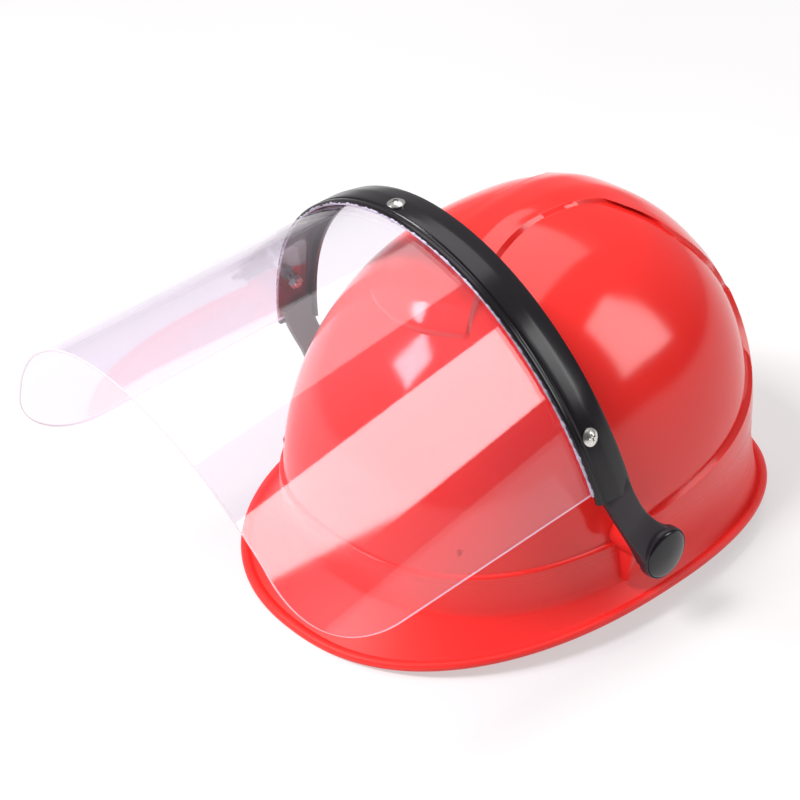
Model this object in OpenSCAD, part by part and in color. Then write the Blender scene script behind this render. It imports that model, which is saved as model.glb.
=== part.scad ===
// Firefighter helmet: moulded shell with an all-round brim, a flip-up clear visor on a black
// arch, and the head harness inside it (headband, ratchet, crown straps and chin strap).
// Millimetres. Origin at the centre of the brim, in the plane that the helmet rests on.
// The front of the helmet faces -Y, the wearer's left is +X, up is +Z.

/* [Shell] */
// Half the width of the shell at the hat-band line
shell_half_w = 99.5; // [82:0.5:120]
// Length of the shell in front of its widest point
shell_front = 121; // [100:1:146]
// Length of the shell behind its widest point
shell_rear = 118; // [98:1:142]
// Height of the dome above the hat-band line
dome_h = 126.5; // [105:0.5:152]
// Height of the hat-band line above the resting plane
band_z = 43.5; // [40:0.5:52]
// Thickness of the moulded shell
shell_wall = 2.5; // [2:0.1:3.2]
// How far the crown sits behind the widest point
crown_back = 15.5; // [10:0.5:20]
// Height of the raised lower panels above the dome
step_h = 2; // [1:0.1:3]
// Height of the central crest above the dome
crest_h = 4; // [2:0.5:6]
// Half the width of the crest at its waist
crest_half_w = 16; // [12:1:20]

/* [Brim] */
// Reach of the brim beyond the shell at the sides
brim_side = 15.5; // [12:0.5:19]
// Reach of the brim beyond the shell at the front
brim_front = 31.3; // [25:0.1:38]
// Reach of the brim beyond the shell at the rear
brim_rear = 16.3; // [13:0.1:20]
// How far the sides of the brim curve up
brim_rise = 11; // [6:0.5:14]
// Height of the rounded edge of the brim
bead_h = 3.6; // [3:0.1:4.5]
// Height of the crease between brim and wall
crease_z = 25; // [22:0.5:30]

/* [Visor arch] */
// Gap between the side of the shell and the outside of the arch
arch_gap = 22; // [19:0.5:27]
// Height of the arch above the dome
arch_over = 28.1; // [23:0.1:34]
// Width of the band of the arch, front to back
band_w = 22; // [18:0.5:26]
// Thickness of the band of the arch
band_t = 2.6; // [2.2:0.1:3.2]
// Depth of the stiffening flange at the rear of the band
flange_d = 7; // [5:0.5:8]
// Radius of the pivot hub
hub_r = 13; // [12:0.5:16]
// Radius of the screws that hold the visor
screw_r = 2; // [1.5:0.25:2.5]

/* [Visor] */
// Thickness of the visor sheet
visor_t = 1.5; // [1:0.1:2]
// Length of the visor from the rear edge of the arch
visor_len = 177; // [150:1:200]
// Radius of the visor's lower front corners
visor_corner_r = 48; // [25:1:56]

/* [Pivot] */
// Radius of the pivot bolt's shank
bolt_r = 3; // [2.5:0.25:3.5]
// Radial clearance of the hub on the bolt
bolt_play = 0.06; // [0.02:0.01:0.1]
// Length of the boss that carries the hub
boss_len = 12.5; // [10:0.5:15]

/* [Harness] */
// Gap between the headband and the side of the shell
harness_gap = 16.5; // [14:0.5:18]
// Height of the headband
headband_h = 22; // [18:1:28]
// Thickness of the headband
headband_t = 2; // [1.6:0.1:2.4]
// Thickness of the sweatband
sweat_t = 3; // [2:0.5:4]
// Width of the crown straps
strap_w = 20; // [15:1:25]
// Thickness of the crown straps
strap_t = 1.4; // [1:0.1:2]
// Free height between the crown straps and the dome
crown_room = 34; // [25:1:40]
// Width of the chin strap
chin_w = 15; // [12:1:18]

/* [Ratchet] */
// Radius of the pinion's pitch circle
pinion_r = 5; // [5:0.5:6]
// Number of teeth on the pinion
pinion_teeth = 10; // [10:1:12]
// Travel of each nape strap to either side
nape_travel = 9.6; // [6:0.2:9.6]
// Radius of the ratchet knob
knob_r = 15; // [13:0.5:16]

/* [Hidden] */

slack = 0.3;              // gap between neighbours that aren't a running fit
stations = 60;            // points round each ring of the shell
dome_steps = 10;          // rings from the hat-band line to the crown
dome_step = 8.2;          // degrees between those rings
plan_n = 2.5;             // how square the shell is in plan
brim_n = 2.3;             // how square the brim is in plan
front_n = 2.06;           // how square the front of the dome is from the side
rear_n = 1.93;            // how square its rear is
foot_cut = 0.6;           // depth of the flat foot under the brim

// The brim's centre is the origin, so the shell's widest point lies a little behind it.
dome_y = (shell_front + brim_front - shell_rear - brim_rear) / 2;
brim_a = shell_half_w + brim_side;
brim_b = (shell_front + brim_front + shell_rear + brim_rear) / 2;
crest_front = dome_y - shell_front * 0.53;
core = [0, dome_y + 10, band_z];

// Pivots of the visor arch
pivot_y = dome_y - 26;
pivot_z = band_z + 2.5;
boss_r = hub_r - 2;
boss_x = shell_half_w + boss_len;
washer_t = 1;
hub_in = boss_x + washer_t + 0.2;
hub_seat = hub_in + 6;
cap_seat = hub_seat + 5;
hub_out = cap_seat + 3;
bolt_head_t = 3.6;
bolt_head_r = 6;
nut_x = shell_half_w - shell_wall - 2.5;
nut_t = 5;
nut_r = 5.8;
cap_r = hub_r - 3;

// Frame of the arch: its base line lies in front of the pivots, its generator slopes
// down to the front, and its rear edge leans forward a little more than that.
arch_y = pivot_y - 6.3;
gen_tilt = 3.5;
arch_skew = 5.5;
arch_a = shell_half_w + arch_gap;
arch_b = dome_h + arch_over;
arch_facet = 3;
band_foot = 44;
visor_foot = 46.6;
visor_back = 3.2;
visor_gap = 0.1;
screw_s = band_w * 0.62;
screw_angles = [28, 90, 152];

// Harness
wall_a = shell_half_w - shell_wall;
wall_f = shell_front - shell_wall;
wall_r = shell_rear - shell_wall;
hb_a = wall_a - harness_gap;
hb_f = wall_f - harness_gap - 3;
hb_r = wall_r - harness_gap - 6;
hb_n = 2.2;
hb_z = 20;
hb_mid = hb_z + headband_h / 2;
clip_t = 3;
clip_w = 18;
clip_angle = 46;
pocket_z = band_z - 1.5;
pocket_h = 14;
pocket_d = 8;
hook_top = hb_z + headband_h + 4;
stud_r = 2.5;

// Ratchet
nape_t = 1.5;
nape_h = 18;
nape_y = dome_y + hb_r + 1.3;
tooth_pitch = 2 * PI * pinion_r / pinion_teeth;
tooth_h = 2.2;
tooth_play = 0.25;
pinion_tip = pinion_r + tooth_h / 2 - 0.1;
rack_half = nape_travel + pinion_tip + 1.2;
peg_r = 2.5;
peg_x = rack_half + 3 + nape_travel + peg_r + slack + 1;
nape_end = peg_x + nape_travel + peg_r + slack + 2;
layer_y = [nape_y, nape_y + nape_t + slack];
plate_t = 2.2;
plate_y = nape_y - slack - plate_t;
cup_y = layer_y[1] + nape_t + slack;
cup_back = cup_y + 3.6;
housing_x = rack_half + 3;
housing_z = nape_h / 2 + slack + 3;
knob_y = cup_back + slack;
knob_t = 8.4;
pad_t = 3.5;

// Chin strap, stowed round the back inside the shell
chin_a = wall_a - 6.5;
chin_b = wall_r - 2.5;
chin_z = 3;
chin_t = 1.2;
chin_start = 8;
lug_y = dome_y + 16;
lug_z = 32;
buckle_t0 = 27;
buckle_t1 = 43;
slider_t = 118;

function sg(v) = v < 0 ? -1 : 1;
function pw(v, e) = sg(v) * pow(abs(v), e);
function ramp(v) = let(c = min(1, max(0, v))) c * c * (3 - 2 * c);

// Egg-shaped outline: half-width a, front length f, rear length r, squareness n
function egg(a, f, r, n, t) = [a * pw(cos(t), 2 / n), (sin(t) < 0 ? f : r) * pw(sin(t), 2 / n)];

// Top of the raised lower panels: level at the front, sweeping up to the rear of the crown
function step_line(x, y) = y < -10 ? 0 : max(band_z - 3.5 + 0.33 * y,
    band_z + dome_h * 0.725 - 0.95 * x * x / shell_half_w);
function crest_edge(y) = crest_half_w + 0.0038 * pow(y - 12, 2);
function relief(p) = let(above = ramp((p[2] - step_line(p[0], p[1])) / 3))
    p[1] < -10 || above > 0
        ? crest_h * above * ramp((crest_edge(p[1]) - abs(p[0])) / 3 + 0.5)
            * ramp((p[1] - crest_front) / 4)
        : step_h;
function raised(p) = let(d = p - core) p + relief(p) * d / norm(d);

function brim_point(inset, z, t) =
    let(e = egg(brim_a - inset, brim_b - inset, brim_b - inset, brim_n, t))
    [e[0], e[1], max(0, z - foot_cut + brim_rise * pow(e[0] / brim_a, 2))];
function wall_point(grow, z, bend, t) =
    let(e = egg(shell_half_w + grow, shell_front + grow, shell_rear + grow, plan_n, t))
    [e[0], dome_y + e[1],
        z + bend * (2.5 * e[1] / shell_rear - 3 * pow(e[0] / shell_half_w, 2))];
function dome_point(off, v, t) =
    let(n = (front_n + rear_n - (front_n - rear_n) * sin(t)) / 2,
        c = pow(cos(v), 2 / n), s = pow(sin(v), 2 / n),
        e = egg(shell_half_w + off, shell_front + off, shell_rear + off, plan_n, t) * c)
    [e[0], dome_y + crown_back * s + e[1], band_z + (dome_h + off) * s];

turns = [for (i = [0:stations - 1]) 360 * i / stations];
rings = concat(
    [for (k = [dome_steps:-1:0]) [for (t = turns) dome_point(-shell_wall, k * dome_step, t)]],
    [[for (t = turns) wall_point(step_h + 1.5 - shell_wall, crease_z - 2.5, 1, t)]],
    [[for (t = turns) brim_point(shell_wall + 1, 0, t)]],
    [[for (t = turns) brim_point(0, 0, t)]],
    [[for (t = turns) brim_point(0, bead_h - 1, t)]],
    [[for (t = turns) brim_point(1.2, bead_h, t)]],
    [[for (t = turns) brim_point(3.4, bead_h, t)]],
    [[for (t = turns) brim_point(4.4, bead_h - 0.4, t)]],
    [[for (t = turns) wall_point(step_h + 1.5, crease_z, 1, t)]],
    [[for (t = turns) wall_point(step_h, band_z - 1.5, 0, t)]],
    [for (k = [0:dome_steps]) [for (t = turns) raised(dome_point(0, k * dome_step, t))]]);
crown = [0, dome_y + crown_back, band_z + dome_h];

// The moulded skin: one closed surface from the inside of the crown, down and round the
// brim's edge, and up to the outside of the crown
module shell_skin() {
    last = len(rings) - 1;
    points = concat([for (r = rings) each r],
        [crown - [0, 0, shell_wall], crown + [0, 0, crest_h]]);
    inner_tip = len(points) - 2;
    outer_tip = len(points) - 1;
    faces = concat(
        [for (j = [0:stations - 1]) [inner_tip, j, (j + 1) % stations]],
        [for (i = [0:last - 1], j = [0:stations - 1])
            let(a = i * stations + j, b = i * stations + (j + 1) % stations)
            each [[a, a + stations, b + stations], [a, b + stations, b]]],
        [for (j = [0:stations - 1])
            [outer_tip, last * stations + (j + 1) % stations, last * stations + j]]);
    polyhedron(points, faces, convexity = 6);
}

// Lays a child that is drawn along +Z along +X, for the left side of the helmet
module along_x(x, y, z) { translate([x, y, z]) rotate([0, 90, 0]) children(); }
module along_y(x, y, z) { translate([x, y, z]) rotate([-90, 0, 0]) children(); }
module both_sides() {
    children();
    mirror([1, 0, 0]) children();
}
// Draws a child's XY outline in the YZ plane, from x0 to x1
module side_view(x0, x1) {
    translate([x0, 0, 0]) rotate([90, 0, 90]) linear_extrude(x1 - x0) children();
}

// Frame of a suspension clip on the shell's inner wall, with X pointing outwards
function clip_root(t) = let(e = egg(wall_a, wall_f, wall_r, plan_n, t)) [e[0], dome_y + e[1]];
function clip_turn(t) = atan2(
    pw(sin(t), 2 - 2 / plan_n) / (sin(t) < 0 ? wall_f : wall_r),
    pw(cos(t), 2 - 2 / plan_n) / wall_a);
function in_headband(p) =
    let(y = p[1] - dome_y, b = (y < 0 ? hb_f : hb_r))
    pow(abs(p[0]) / hb_a, hb_n) + pow(abs(y) / b, hb_n) < 1;
// Distance from the wall to the headband along the clip, found by halving
function reach(t, near, far, n) = n == 0 ? near :
    let(m = (near + far) / 2, a = clip_turn(t), p = clip_root(t) - m * [cos(a), sin(a)])
    in_headband(p) ? reach(t, near, m, n - 1) : reach(t, m, far, n - 1);
function clip_reach(t) = reach(t, 5, 60, 16) - slack;
module at_clip(t) {
    p = clip_root(t);
    translate([p[0], p[1], 0]) rotate([0, 0, clip_turn(t)]) children();
}
clips = [-clip_angle, 180 + clip_angle, clip_angle, 180 - clip_angle];

module shell() color([0.86, 0.05, 0.04]) difference() {
    union() {
        shell_skin();
        both_sides() {
            along_x(shell_half_w - shell_wall - 2.5, pivot_y, pivot_z)
                cylinder(r = boss_r, h = boss_len + shell_wall + 2.5, $fn = 64);
            translate([shell_half_w - 1, pivot_y - 3, crease_z - 9])
                cube([boss_len - 1, 5, pivot_z - crease_z + 1]);
            along_x(shell_half_w - shell_wall - 1.5, lug_y, lug_z)
                cylinder(r = 6, h = 3.5, $fn = 48);
        }
        for (t = clips) at_clip(t)
            translate([-pocket_d, -clip_w / 2 - 3, pocket_z])
                cube([pocket_d + 0.2, clip_w + 6, pocket_h]);
    }
    both_sides() {
        along_x(shell_half_w - 20, pivot_y, pivot_z)
            cylinder(r = bolt_r + 0.2, h = 60, $fn = 48);
        along_x(shell_half_w - 8, lug_y, lug_z) cylinder(r = 2.1, h = 7, $fn = 32);
    }
    for (t = clips) at_clip(t)
        translate([-3 - clip_t, -clip_w / 2 - slack, pocket_z - 1])
            cube([clip_t + 2 * slack, clip_w + 2 * slack, pocket_h - 3]);
}

// Frame of the arch: X across, Y up the arch, Z forwards along the visor
module in_arch() { translate([0, arch_y, pivot_z]) rotate([90 + gen_tilt, 0, 0]) children(); }
function arch_point(off, t) = [(arch_a - off) * cos(t), (arch_b - off) * sin(t)];
// Arched strip between two depths below the outer face, down to a given height
module arch_strip(d0, d1, foot, len) {
    t0 = asin(foot / (arch_b - d0));
    t1 = asin(foot / (arch_b - d1));
    n = ceil((180 - 2 * t0) / arch_facet);
    linear_extrude(len) polygon(concat(
        [for (i = [0:n]) arch_point(d0, t0 + (180 - 2 * t0) * i / n)],
        [for (i = [n:-1:0]) arch_point(d1, t1 + (180 - 2 * t1) * i / n)]));
}
// The space between two planes parallel to the arch's rear edge
module arch_slab(s0, s1) {
    rotate([arch_skew, 0, 0]) translate([-250, -60, s0 * cos(arch_skew)])
        cube([500, 400, (s1 - s0) * cos(arch_skew)]);
}
module at_screw(t) {
    p = arch_point(0, t);
    translate([p[0], p[1], p[1] * tan(arch_skew) + screw_s])
        rotate([0, 0, atan2(sin(t) / arch_b, cos(t) / arch_a)]) rotate([0, 90, 0]) children();
}

// Outline of an arm from the side: centre line on a curve, waist in the middle
arm_path = [[pivot_y - 25, pivot_z + 48], [pivot_y - 19, pivot_z + 24], [pivot_y, pivot_z]];
function bezier(p, s) = p[0] * pow(1 - s, 2) + p[1] * 2 * s * (1 - s) + p[2] * s * s;
function slope(p, s) = let(d = (p[1] - p[0]) * (1 - s) + (p[2] - p[1]) * s) d / norm(d);
function arm_half(s) = s < 0.5 ? 9 + 3.4 * pow(1 - s / 0.5, 2)
    : 9 + (hub_r - 9.6) * pow((s - 0.5) / 0.5, 2);
function arm_edge(s, side) = let(d = slope(arm_path, s))
    bezier(arm_path, s) + side * arm_half(s) * [-d[1], d[0]];
module arm_outline() {
    polygon(concat([for (s = [0:0.1:1]) arm_edge(s, 1)], [for (s = [1:-0.1:0]) arm_edge(s, -1)]));
}

module visor_frame() color([0.06, 0.06, 0.07]) difference() {
    union() {
        in_arch() intersection() {
            arch_strip(0, band_t, band_foot, 120);
            arch_slab(0, band_w);
        }
        in_arch() intersection() {
            arch_strip(band_t - 0.5, flange_d, band_foot, 120);
            arch_slab(0, 2.4);
        }
        intersection() {
            in_arch() translate([0, 0, -60]) arch_strip(0, 5, 1, 180);
            both_sides() side_view(hub_in - 14, hub_out) arm_outline();
        }
        both_sides() along_x(hub_in, pivot_y, pivot_z) cylinder(r = hub_r, h = hub_out - hub_in, $fn = 96);
    }
    both_sides() {
        along_x(hub_in - 5, pivot_y, pivot_z)
            cylinder(r = bolt_r + bolt_play, h = 30, $fn = 64);
        along_x(hub_seat, pivot_y, pivot_z) cylinder(r = 8.5, h = 20, $fn = 64);
        along_x(cap_seat, pivot_y, pivot_z) cylinder(r = cap_r + 0.1, h = 20, $fn = 64);
    }
    in_arch() intersection() {
        arch_strip(band_t, 9, visor_foot - slack, 120);
        arch_slab(visor_back - slack, 60);
    }
    in_arch() for (t = screw_angles) at_screw(t)
        translate([0, 0, -12]) cylinder(r = screw_r + 0.1, h = 24, $fn = 32);
}

module visor() color([0.86, 0.84, 0.93, 0.35]) in_arch() difference() {
    intersection() {
        arch_strip(band_t + visor_gap, band_t + visor_gap + visor_t, visor_foot, 240);
        arch_slab(visor_back, visor_len);
    }
    side_view(-arch_a, arch_a) {
        front = visor_len + (visor_foot + visor_corner_r) * tan(arch_skew);
        difference() {
            translate([visor_foot - 5, front - visor_corner_r])
                square([visor_corner_r + 5, visor_corner_r + 20]);
            translate([visor_foot + visor_corner_r, front - visor_corner_r])
                circle(r = visor_corner_r, $fn = 96);
            translate([visor_foot + visor_corner_r, front - visor_corner_r])
                square([visor_corner_r, 80]);
        }
    }
    for (t = screw_angles) at_screw(t)
        translate([0, 0, -12]) cylinder(r = screw_r + 0.1, h = 24, $fn = 32);
}

module visor_screws() color([0.8, 0.8, 0.8]) in_arch() for (t = screw_angles) at_screw(t) {
    difference() {
        intersection() {
            cylinder(r = screw_r * 2.1, h = 2.4, $fn = 48);
            translate([0, 0, -3.8]) sphere(r = 6.2, $fn = 64);
        }
        for (a = [0, 90]) rotate([0, 0, a]) translate([-1.9, -0.4, 1.2]) cube([3.8, 0.8, 3]);
    }
    translate([0, 0, -8.5]) cylinder(r = screw_r, h = 8.6, $fn = 48);
}

module visor_nuts() color([0.75, 0.75, 0.76]) in_arch() for (t = screw_angles) at_screw(t)
    translate([0, 0, -band_t - 2 * visor_gap - visor_t - 0.5 - 2.6]) difference() {
        cylinder(r = screw_r * 1.95, h = 2.6, $fn = 6);
        translate([0, 0, -1]) cylinder(r = screw_r + 0.05, h = 6, $fn = 48);
    }

// Domed cap over the head of the pivot bolt
module pivot_cap() color([0.1, 0.1, 0.11]) along_x(cap_seat, pivot_y, pivot_z) {
    cylinder(r = cap_r, h = 2.2, $fn = 64);
    intersection() {
        translate([0, 0, 2.2]) cylinder(r = cap_r - 1, h = 3, $fn = 64);
        translate([0, 0, -22.6]) sphere(r = 27, $fn = 96);
    }
}
module pivot_bolt() color([0.7, 0.7, 0.72]) {
    along_x(nut_x - nut_t - 2, pivot_y, pivot_z)
        cylinder(r = bolt_r, h = hub_seat + 0.2 - nut_x + nut_t + 2, $fn = 64);
    along_x(hub_seat + 0.2, pivot_y, pivot_z) difference() {
        cylinder(r = bolt_head_r, h = bolt_head_t, $fn = 64);
        translate([0, 0, 1.4]) cylinder(r = 2.9, h = 4, $fn = 6);
    }
}
module pivot_washer() color([0.6, 0.6, 0.62]) along_x(boss_x, pivot_y, pivot_z) difference() {
    cylinder(r = 9, h = washer_t, $fn = 64);
    translate([0, 0, -1]) cylinder(r = bolt_r + 0.1, h = 4, $fn = 64);
}
module pivot_nut() color([0.7, 0.7, 0.72]) along_x(nut_x - nut_t, pivot_y, pivot_z) difference() {
    cylinder(r = nut_r, h = nut_t, $fn = 6);
    translate([0, 0, -1]) cylinder(r = bolt_r + 0.05, h = nut_t + 2, $fn = 64);
}

// Strip that follows the headband: from d0 inside its outer face to d1, between two turns
function band_point(d, t) = let(e = egg(hb_a - d, hb_f - d, hb_r - d, hb_n, t))
    [e[0], dome_y + e[1]];
module band_strip(d0, d1, t0, t1, z, h) {
    n = ceil((t1 - t0) / 5);
    translate([0, 0, z]) linear_extrude(h) polygon(concat(
        [for (i = [0:n]) band_point(d0, t0 + (t1 - t0) * i / n)],
        [for (i = [n:-1:0]) band_point(d1, t0 + (t1 - t0) * i / n)]));
}
// Turn at which the headband's outline passes a given X at the rear
hb_end = acos(pow((peg_x - 7) / hb_a, hb_n / 2));

module headband() color([0.12, 0.12, 0.13]) difference() {
    union() {
        band_strip(0, headband_t, -180 - hb_end, hb_end, hb_z, headband_h);
        for (s = [0, 1]) mirror([s, 0, 0]) {
            translate([peg_x - 4, dome_y + hb_r * 0.78, hb_mid - 6])
                cube([8, nape_y - slack - dome_y - hb_r * 0.78, 12]);
            along_y(peg_x, nape_y - slack - 1, hb_mid)
                cylinder(r = peg_r, h = layer_y[s] - nape_y + nape_t + slack + 2, $fn = 48);
        }
    }
    band_inside();
    for (t = clips) at_clip(t) along_x(-clip_reach(t) - 9, 0, hb_mid + 5)
        cylinder(r = stud_r + slack, h = 12, $fn = 32);
}
// The space inside the headband's inner face, so that nothing stands proud of it
module band_inside() {
    translate([0, 0, hb_z - 1]) linear_extrude(headband_h + 2)
        polygon([for (t = [0:5:355]) band_point(headband_t, t)]);
}

module sweatband() color([0.25, 0.25, 0.27])
    band_strip(headband_t + slack, headband_t + slack + sweat_t, -145, -35, hb_z, headband_h);

// Teeth of the pinion and of the racks, straight-sided
module pinion_outline(r, h, teeth, thin) {
    difference() {
        circle(r = r + h / 2 - 0.1, $fn = 48);
        for (i = [0:teeth - 1]) rotate(360 * (i + 0.5) / teeth)
            polygon([[r - h / 2, -0.45 + thin], [r + h, -1.75 + thin],
                [r + h, 1.75 - thin], [r - h / 2, 0.45 - thin]]);
    }
}
// Left strap: toothed upper edge of the slot; the right strap is the same piece turned over
module nape_strap(layer) {
    along_strap = layer_y[layer] + nape_t;
    translate([0, along_strap, hb_mid]) rotate([90, 0, 0]) linear_extrude(nape_t) difference() {
        union() {
            translate([-rack_half - 3.5, -nape_h / 2])
                square([nape_end + rack_half + 3.5, nape_h]);
        }
        difference() {
            translate([-rack_half, -nape_h / 2 + 2]) square([2 * rack_half, nape_h - 4]);
            translate([-rack_half, pinion_r + tooth_h / 2]) square([2 * rack_half, nape_h]);
            for (i = [-5:5]) rack_tooth(i * tooth_pitch);
        }
        translate([peg_x - nape_travel, -peg_r - slack])
            square([2 * nape_travel, 2 * peg_r + 2 * slack]);
        for (s = [-1, 1]) translate([peg_x + s * nape_travel, 0])
            circle(r = peg_r + slack, $fn = 32);
    }
}
module rack_tooth(x) {
    half = tooth_pitch / 4;
    translate([x, pinion_r]) polygon([[-half - 0.55 + tooth_play, tooth_h],
        [-half + 0.35 + tooth_play, -tooth_h / 2 + 0.2],
        [half - 0.35 - tooth_play, -tooth_h / 2 + 0.2], [half + 0.55 - tooth_play, tooth_h]]);
}
module nape_strap_left() color([0.16, 0.16, 0.17]) nape_strap(0);
module nape_strap_right() color([0.16, 0.16, 0.17])
    translate([0, 0, 2 * hb_mid]) rotate([0, 180, 0]) nape_strap(1);

module ratchet_housing() color([0.1, 0.1, 0.11]) difference() {
    translate([-housing_x, nape_y - slack, hb_mid - housing_z])
        cube([2 * housing_x, cup_back - nape_y + slack, 2 * housing_z]);
    translate([-housing_x - 1, nape_y - slack - 1, hb_mid - nape_h / 2 - slack])
        cube([2 * housing_x + 2, cup_y - nape_y + slack + 1, nape_h + 2 * slack]);
    along_y(0, nape_y, hb_mid) cylinder(r = 4.06, h = 30, $fn = 64);
}
module ratchet_backplate() color([0.14, 0.14, 0.15]) difference() {
    translate([-housing_x, plate_y, hb_mid - housing_z])
        cube([2 * housing_x, plate_t, 2 * housing_z]);
    along_y(0, plate_y - 1, hb_mid) cylinder(r = 2.06, h = 6, $fn = 48);
}
module ratchet_pinion() color([0.75, 0.74, 0.7]) {
    translate([0, cup_y - 0.1, hb_mid]) rotate([90, 0, 0])
        linear_extrude(cup_y - nape_y + slack - 0.2)
        pinion_outline(pinion_r, tooth_h, pinion_teeth, 0);
    along_y(0, plate_y + 0.3, hb_mid) cylinder(r = 2, h = 3, $fn = 48);
    along_y(0, cup_y - 0.2, hb_mid) cylinder(r = 4, h = cup_back - cup_y + 0.2, $fn = 64);
    along_y(0, cup_back - 0.1, hb_mid) cylinder(r = 3, h = 5, $fn = 48);
}
module ratchet_knob() color([0.09, 0.09, 0.1]) along_y(0, knob_y, hb_mid) difference() {
    union() {
        cylinder(r = knob_r - 1, h = knob_t, $fn = 96);
        for (i = [0:23]) rotate([0, 0, i * 15]) translate([knob_r - 1.3, -0.8, 0.6])
            cube([1.3, 1.6, knob_t - 1.2]);
    }
    translate([0, 0, -1]) cylinder(r = 3.05, h = 5.6, $fn = 48);
    translate([0, 0, knob_t - 1.2]) difference() {
        cylinder(r = knob_r - 4, h = 3, $fn = 64);
        translate([-1.5, -knob_r, -1]) cube([3, 2 * knob_r, 5]);
    }
}
module nape_pad() color([0.22, 0.22, 0.24])
    translate([-housing_x, plate_y - slack - pad_t, hb_mid - housing_z])
        cube([2 * housing_x, pad_t, 2 * housing_z]);

// Key in the shell's pocket, arm across to the headband, and a stud through it
module clip(t) color([0.85, 0.83, 0.78]) at_clip(t) {
    r = clip_reach(t);
    translate([-3, 0, 0]) translate([-clip_t + slack, -clip_w / 2, hb_mid - 2])
        cube([clip_t, clip_w, pocket_z + pocket_h - 5 - hb_mid]);
    translate([-r, -clip_w / 2, hb_mid - 2]) cube([r - 3, clip_w, 3]);
    translate([-r, -clip_w / 2, hb_mid - 2]) cube([clip_t, clip_w, hook_top - hb_mid + 2]);
    along_x(-r - headband_t - slack - 0.2, 0, hb_mid + 5)
        cylinder(r = stud_r, h = headband_t + slack + 1, $fn = 32);
}
module clip_front_left() clip(clips[0]);
module clip_front_right() clip(clips[1]);
module clip_rear_left() clip(clips[2]);
module clip_rear_right() clip(clips[3]);

// Crown strap: a thin arch between two clips, in the upright plane through both
function hook_at(t) = let(a = clip_turn(t)) clip_root(t) - (clip_reach(t) - clip_t / 2) * [cos(a), sin(a)];
module crown_strap(t0, t1, lift) {
    p0 = hook_at(t0);
    p1 = hook_at(t1);
    half = norm(p1 - p0) / 2;
    foot = hook_top + slack;
    rise = band_z + dome_h - crown_room - foot + lift;
    mid = (p0 + p1) / 2;
    translate([mid[0], mid[1], foot]) rotate([0, 0, atan2(p1[1] - p0[1], p1[0] - p0[0])])
        rotate([90, 0, 0]) translate([0, 0, -strap_w / 2]) linear_extrude(strap_w)
        polygon(concat(
            [for (a = [0:5:180]) egg(half, 0, rise, 2.3, a)],
            [for (a = [180:-5:0]) egg(half - strap_t, 0, rise - strap_t, 2.3, a)]));
}
module crown_strap_lower() color([0.75, 0.72, 0.62]) crown_strap(clips[0], clips[3], 0);
module crown_strap_upper() color([0.75, 0.72, 0.62]) crown_strap(clips[1], clips[2], strap_t + 0.8);

// Chin strap: webbing on edge, following the inside of the shell round the back
function chin_point(d, t) = let(e = egg(chin_a - d, chin_b - d, chin_b - d, plan_n, t))
    [e[0], dome_y + e[1]];
module chin_web(t0, t1) {
    n = ceil(abs(t1 - t0) / 5);
    translate([0, 0, chin_z]) linear_extrude(chin_w) polygon(concat(
        [for (i = [0:n]) chin_point(0, t0 + (t1 - t0) * i / n)],
        [for (i = [n:-1:0]) chin_point(chin_t, t0 + (t1 - t0) * i / n)]));
}
// The upright end of the webbing, held to the shell's lug by a rivet
module chin_hanger() {
    difference() {
        translate([chin_a - chin_t, dome_y + 8, chin_z]) cube([chin_t, 16, lug_z + 9 - chin_z]);
        along_x(chin_a - 5, lug_y, lug_z) cylinder(r = 2.2, h = 10, $fn = 32);
    }
}
module chin_strap_left() color([0.1, 0.1, 0.1]) {
    chin_web(chin_start, buckle_t0);
    chin_hanger();
}
module chin_strap_right() color([0.1, 0.1, 0.1]) {
    chin_web(buckle_t1 + 0.4, 180 - chin_start);
    mirror([1, 0, 0]) chin_hanger();
}
module chin_rivet() color([0.7, 0.7, 0.72]) {
    along_x(chin_a - chin_t - slack - 1.5, lug_y, lug_z) cylinder(r = 5, h = 1.5, $fn = 48);
    along_x(chin_a - chin_t - slack - 0.1, lug_y, lug_z)
        cylinder(r = 2, h = wall_a - chin_a + 3, $fn = 32);
}
module chin_rivet_left() chin_rivet();
module chin_rivet_right() mirror([1, 0, 0]) chin_rivet();

// Frame of a fitting on the chin strap: X along the strap, Y out, Z up
module at_chin(t) {
    p = chin_point(chin_t / 2, t);
    q = chin_point(chin_t / 2, t + 1);
    translate([p[0], p[1], chin_z + chin_w / 2])
        rotate([0, 0, atan2(q[1] - p[1], q[0] - p[0])]) children();
}
buckle_mid = (buckle_t0 + buckle_t1) / 2;
buckle_h = chin_w + 5;
buckle_span = norm(chin_point(0, buckle_t1) - chin_point(0, buckle_t0));
buckle_depth = 7;
module buckle_socket() color([0.08, 0.08, 0.09]) at_chin(buckle_mid) difference() {
    translate([-buckle_span / 2 + slack, -buckle_depth / 2, -buckle_h / 2])
        cube([buckle_span / 2 + 2, buckle_depth, buckle_h]);
    translate([-buckle_span / 2 + 8, -2, -buckle_h / 2 + 3])
        cube([buckle_span, 4, buckle_h - 6]);
}
module buckle_plug() color([0.08, 0.08, 0.09]) at_chin(buckle_mid) {
    translate([2 + slack, -buckle_depth / 2, -buckle_h / 2])
        cube([buckle_span / 2 - 2 - 2 * slack, buckle_depth, buckle_h]);
    for (s = [-1, 1]) translate([-buckle_span / 2 + 10, -1.7, s * (buckle_h / 2 - 5.2) - 1.5])
        cube([buckle_span / 2 - 7, 3.4, 3]);
}
module strap_slider() color([0.08, 0.08, 0.09]) at_chin(slider_t) difference() {
    translate([-7, -3, -chin_w / 2 - 2.6]) cube([14, 6, chin_w + 5.2]);
    translate([-12, -chin_t / 2 - 3 * slack, -chin_w / 2 - slack])
        cube([24, chin_t + 6 * slack, chin_w + 2 * slack]);
}

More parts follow.
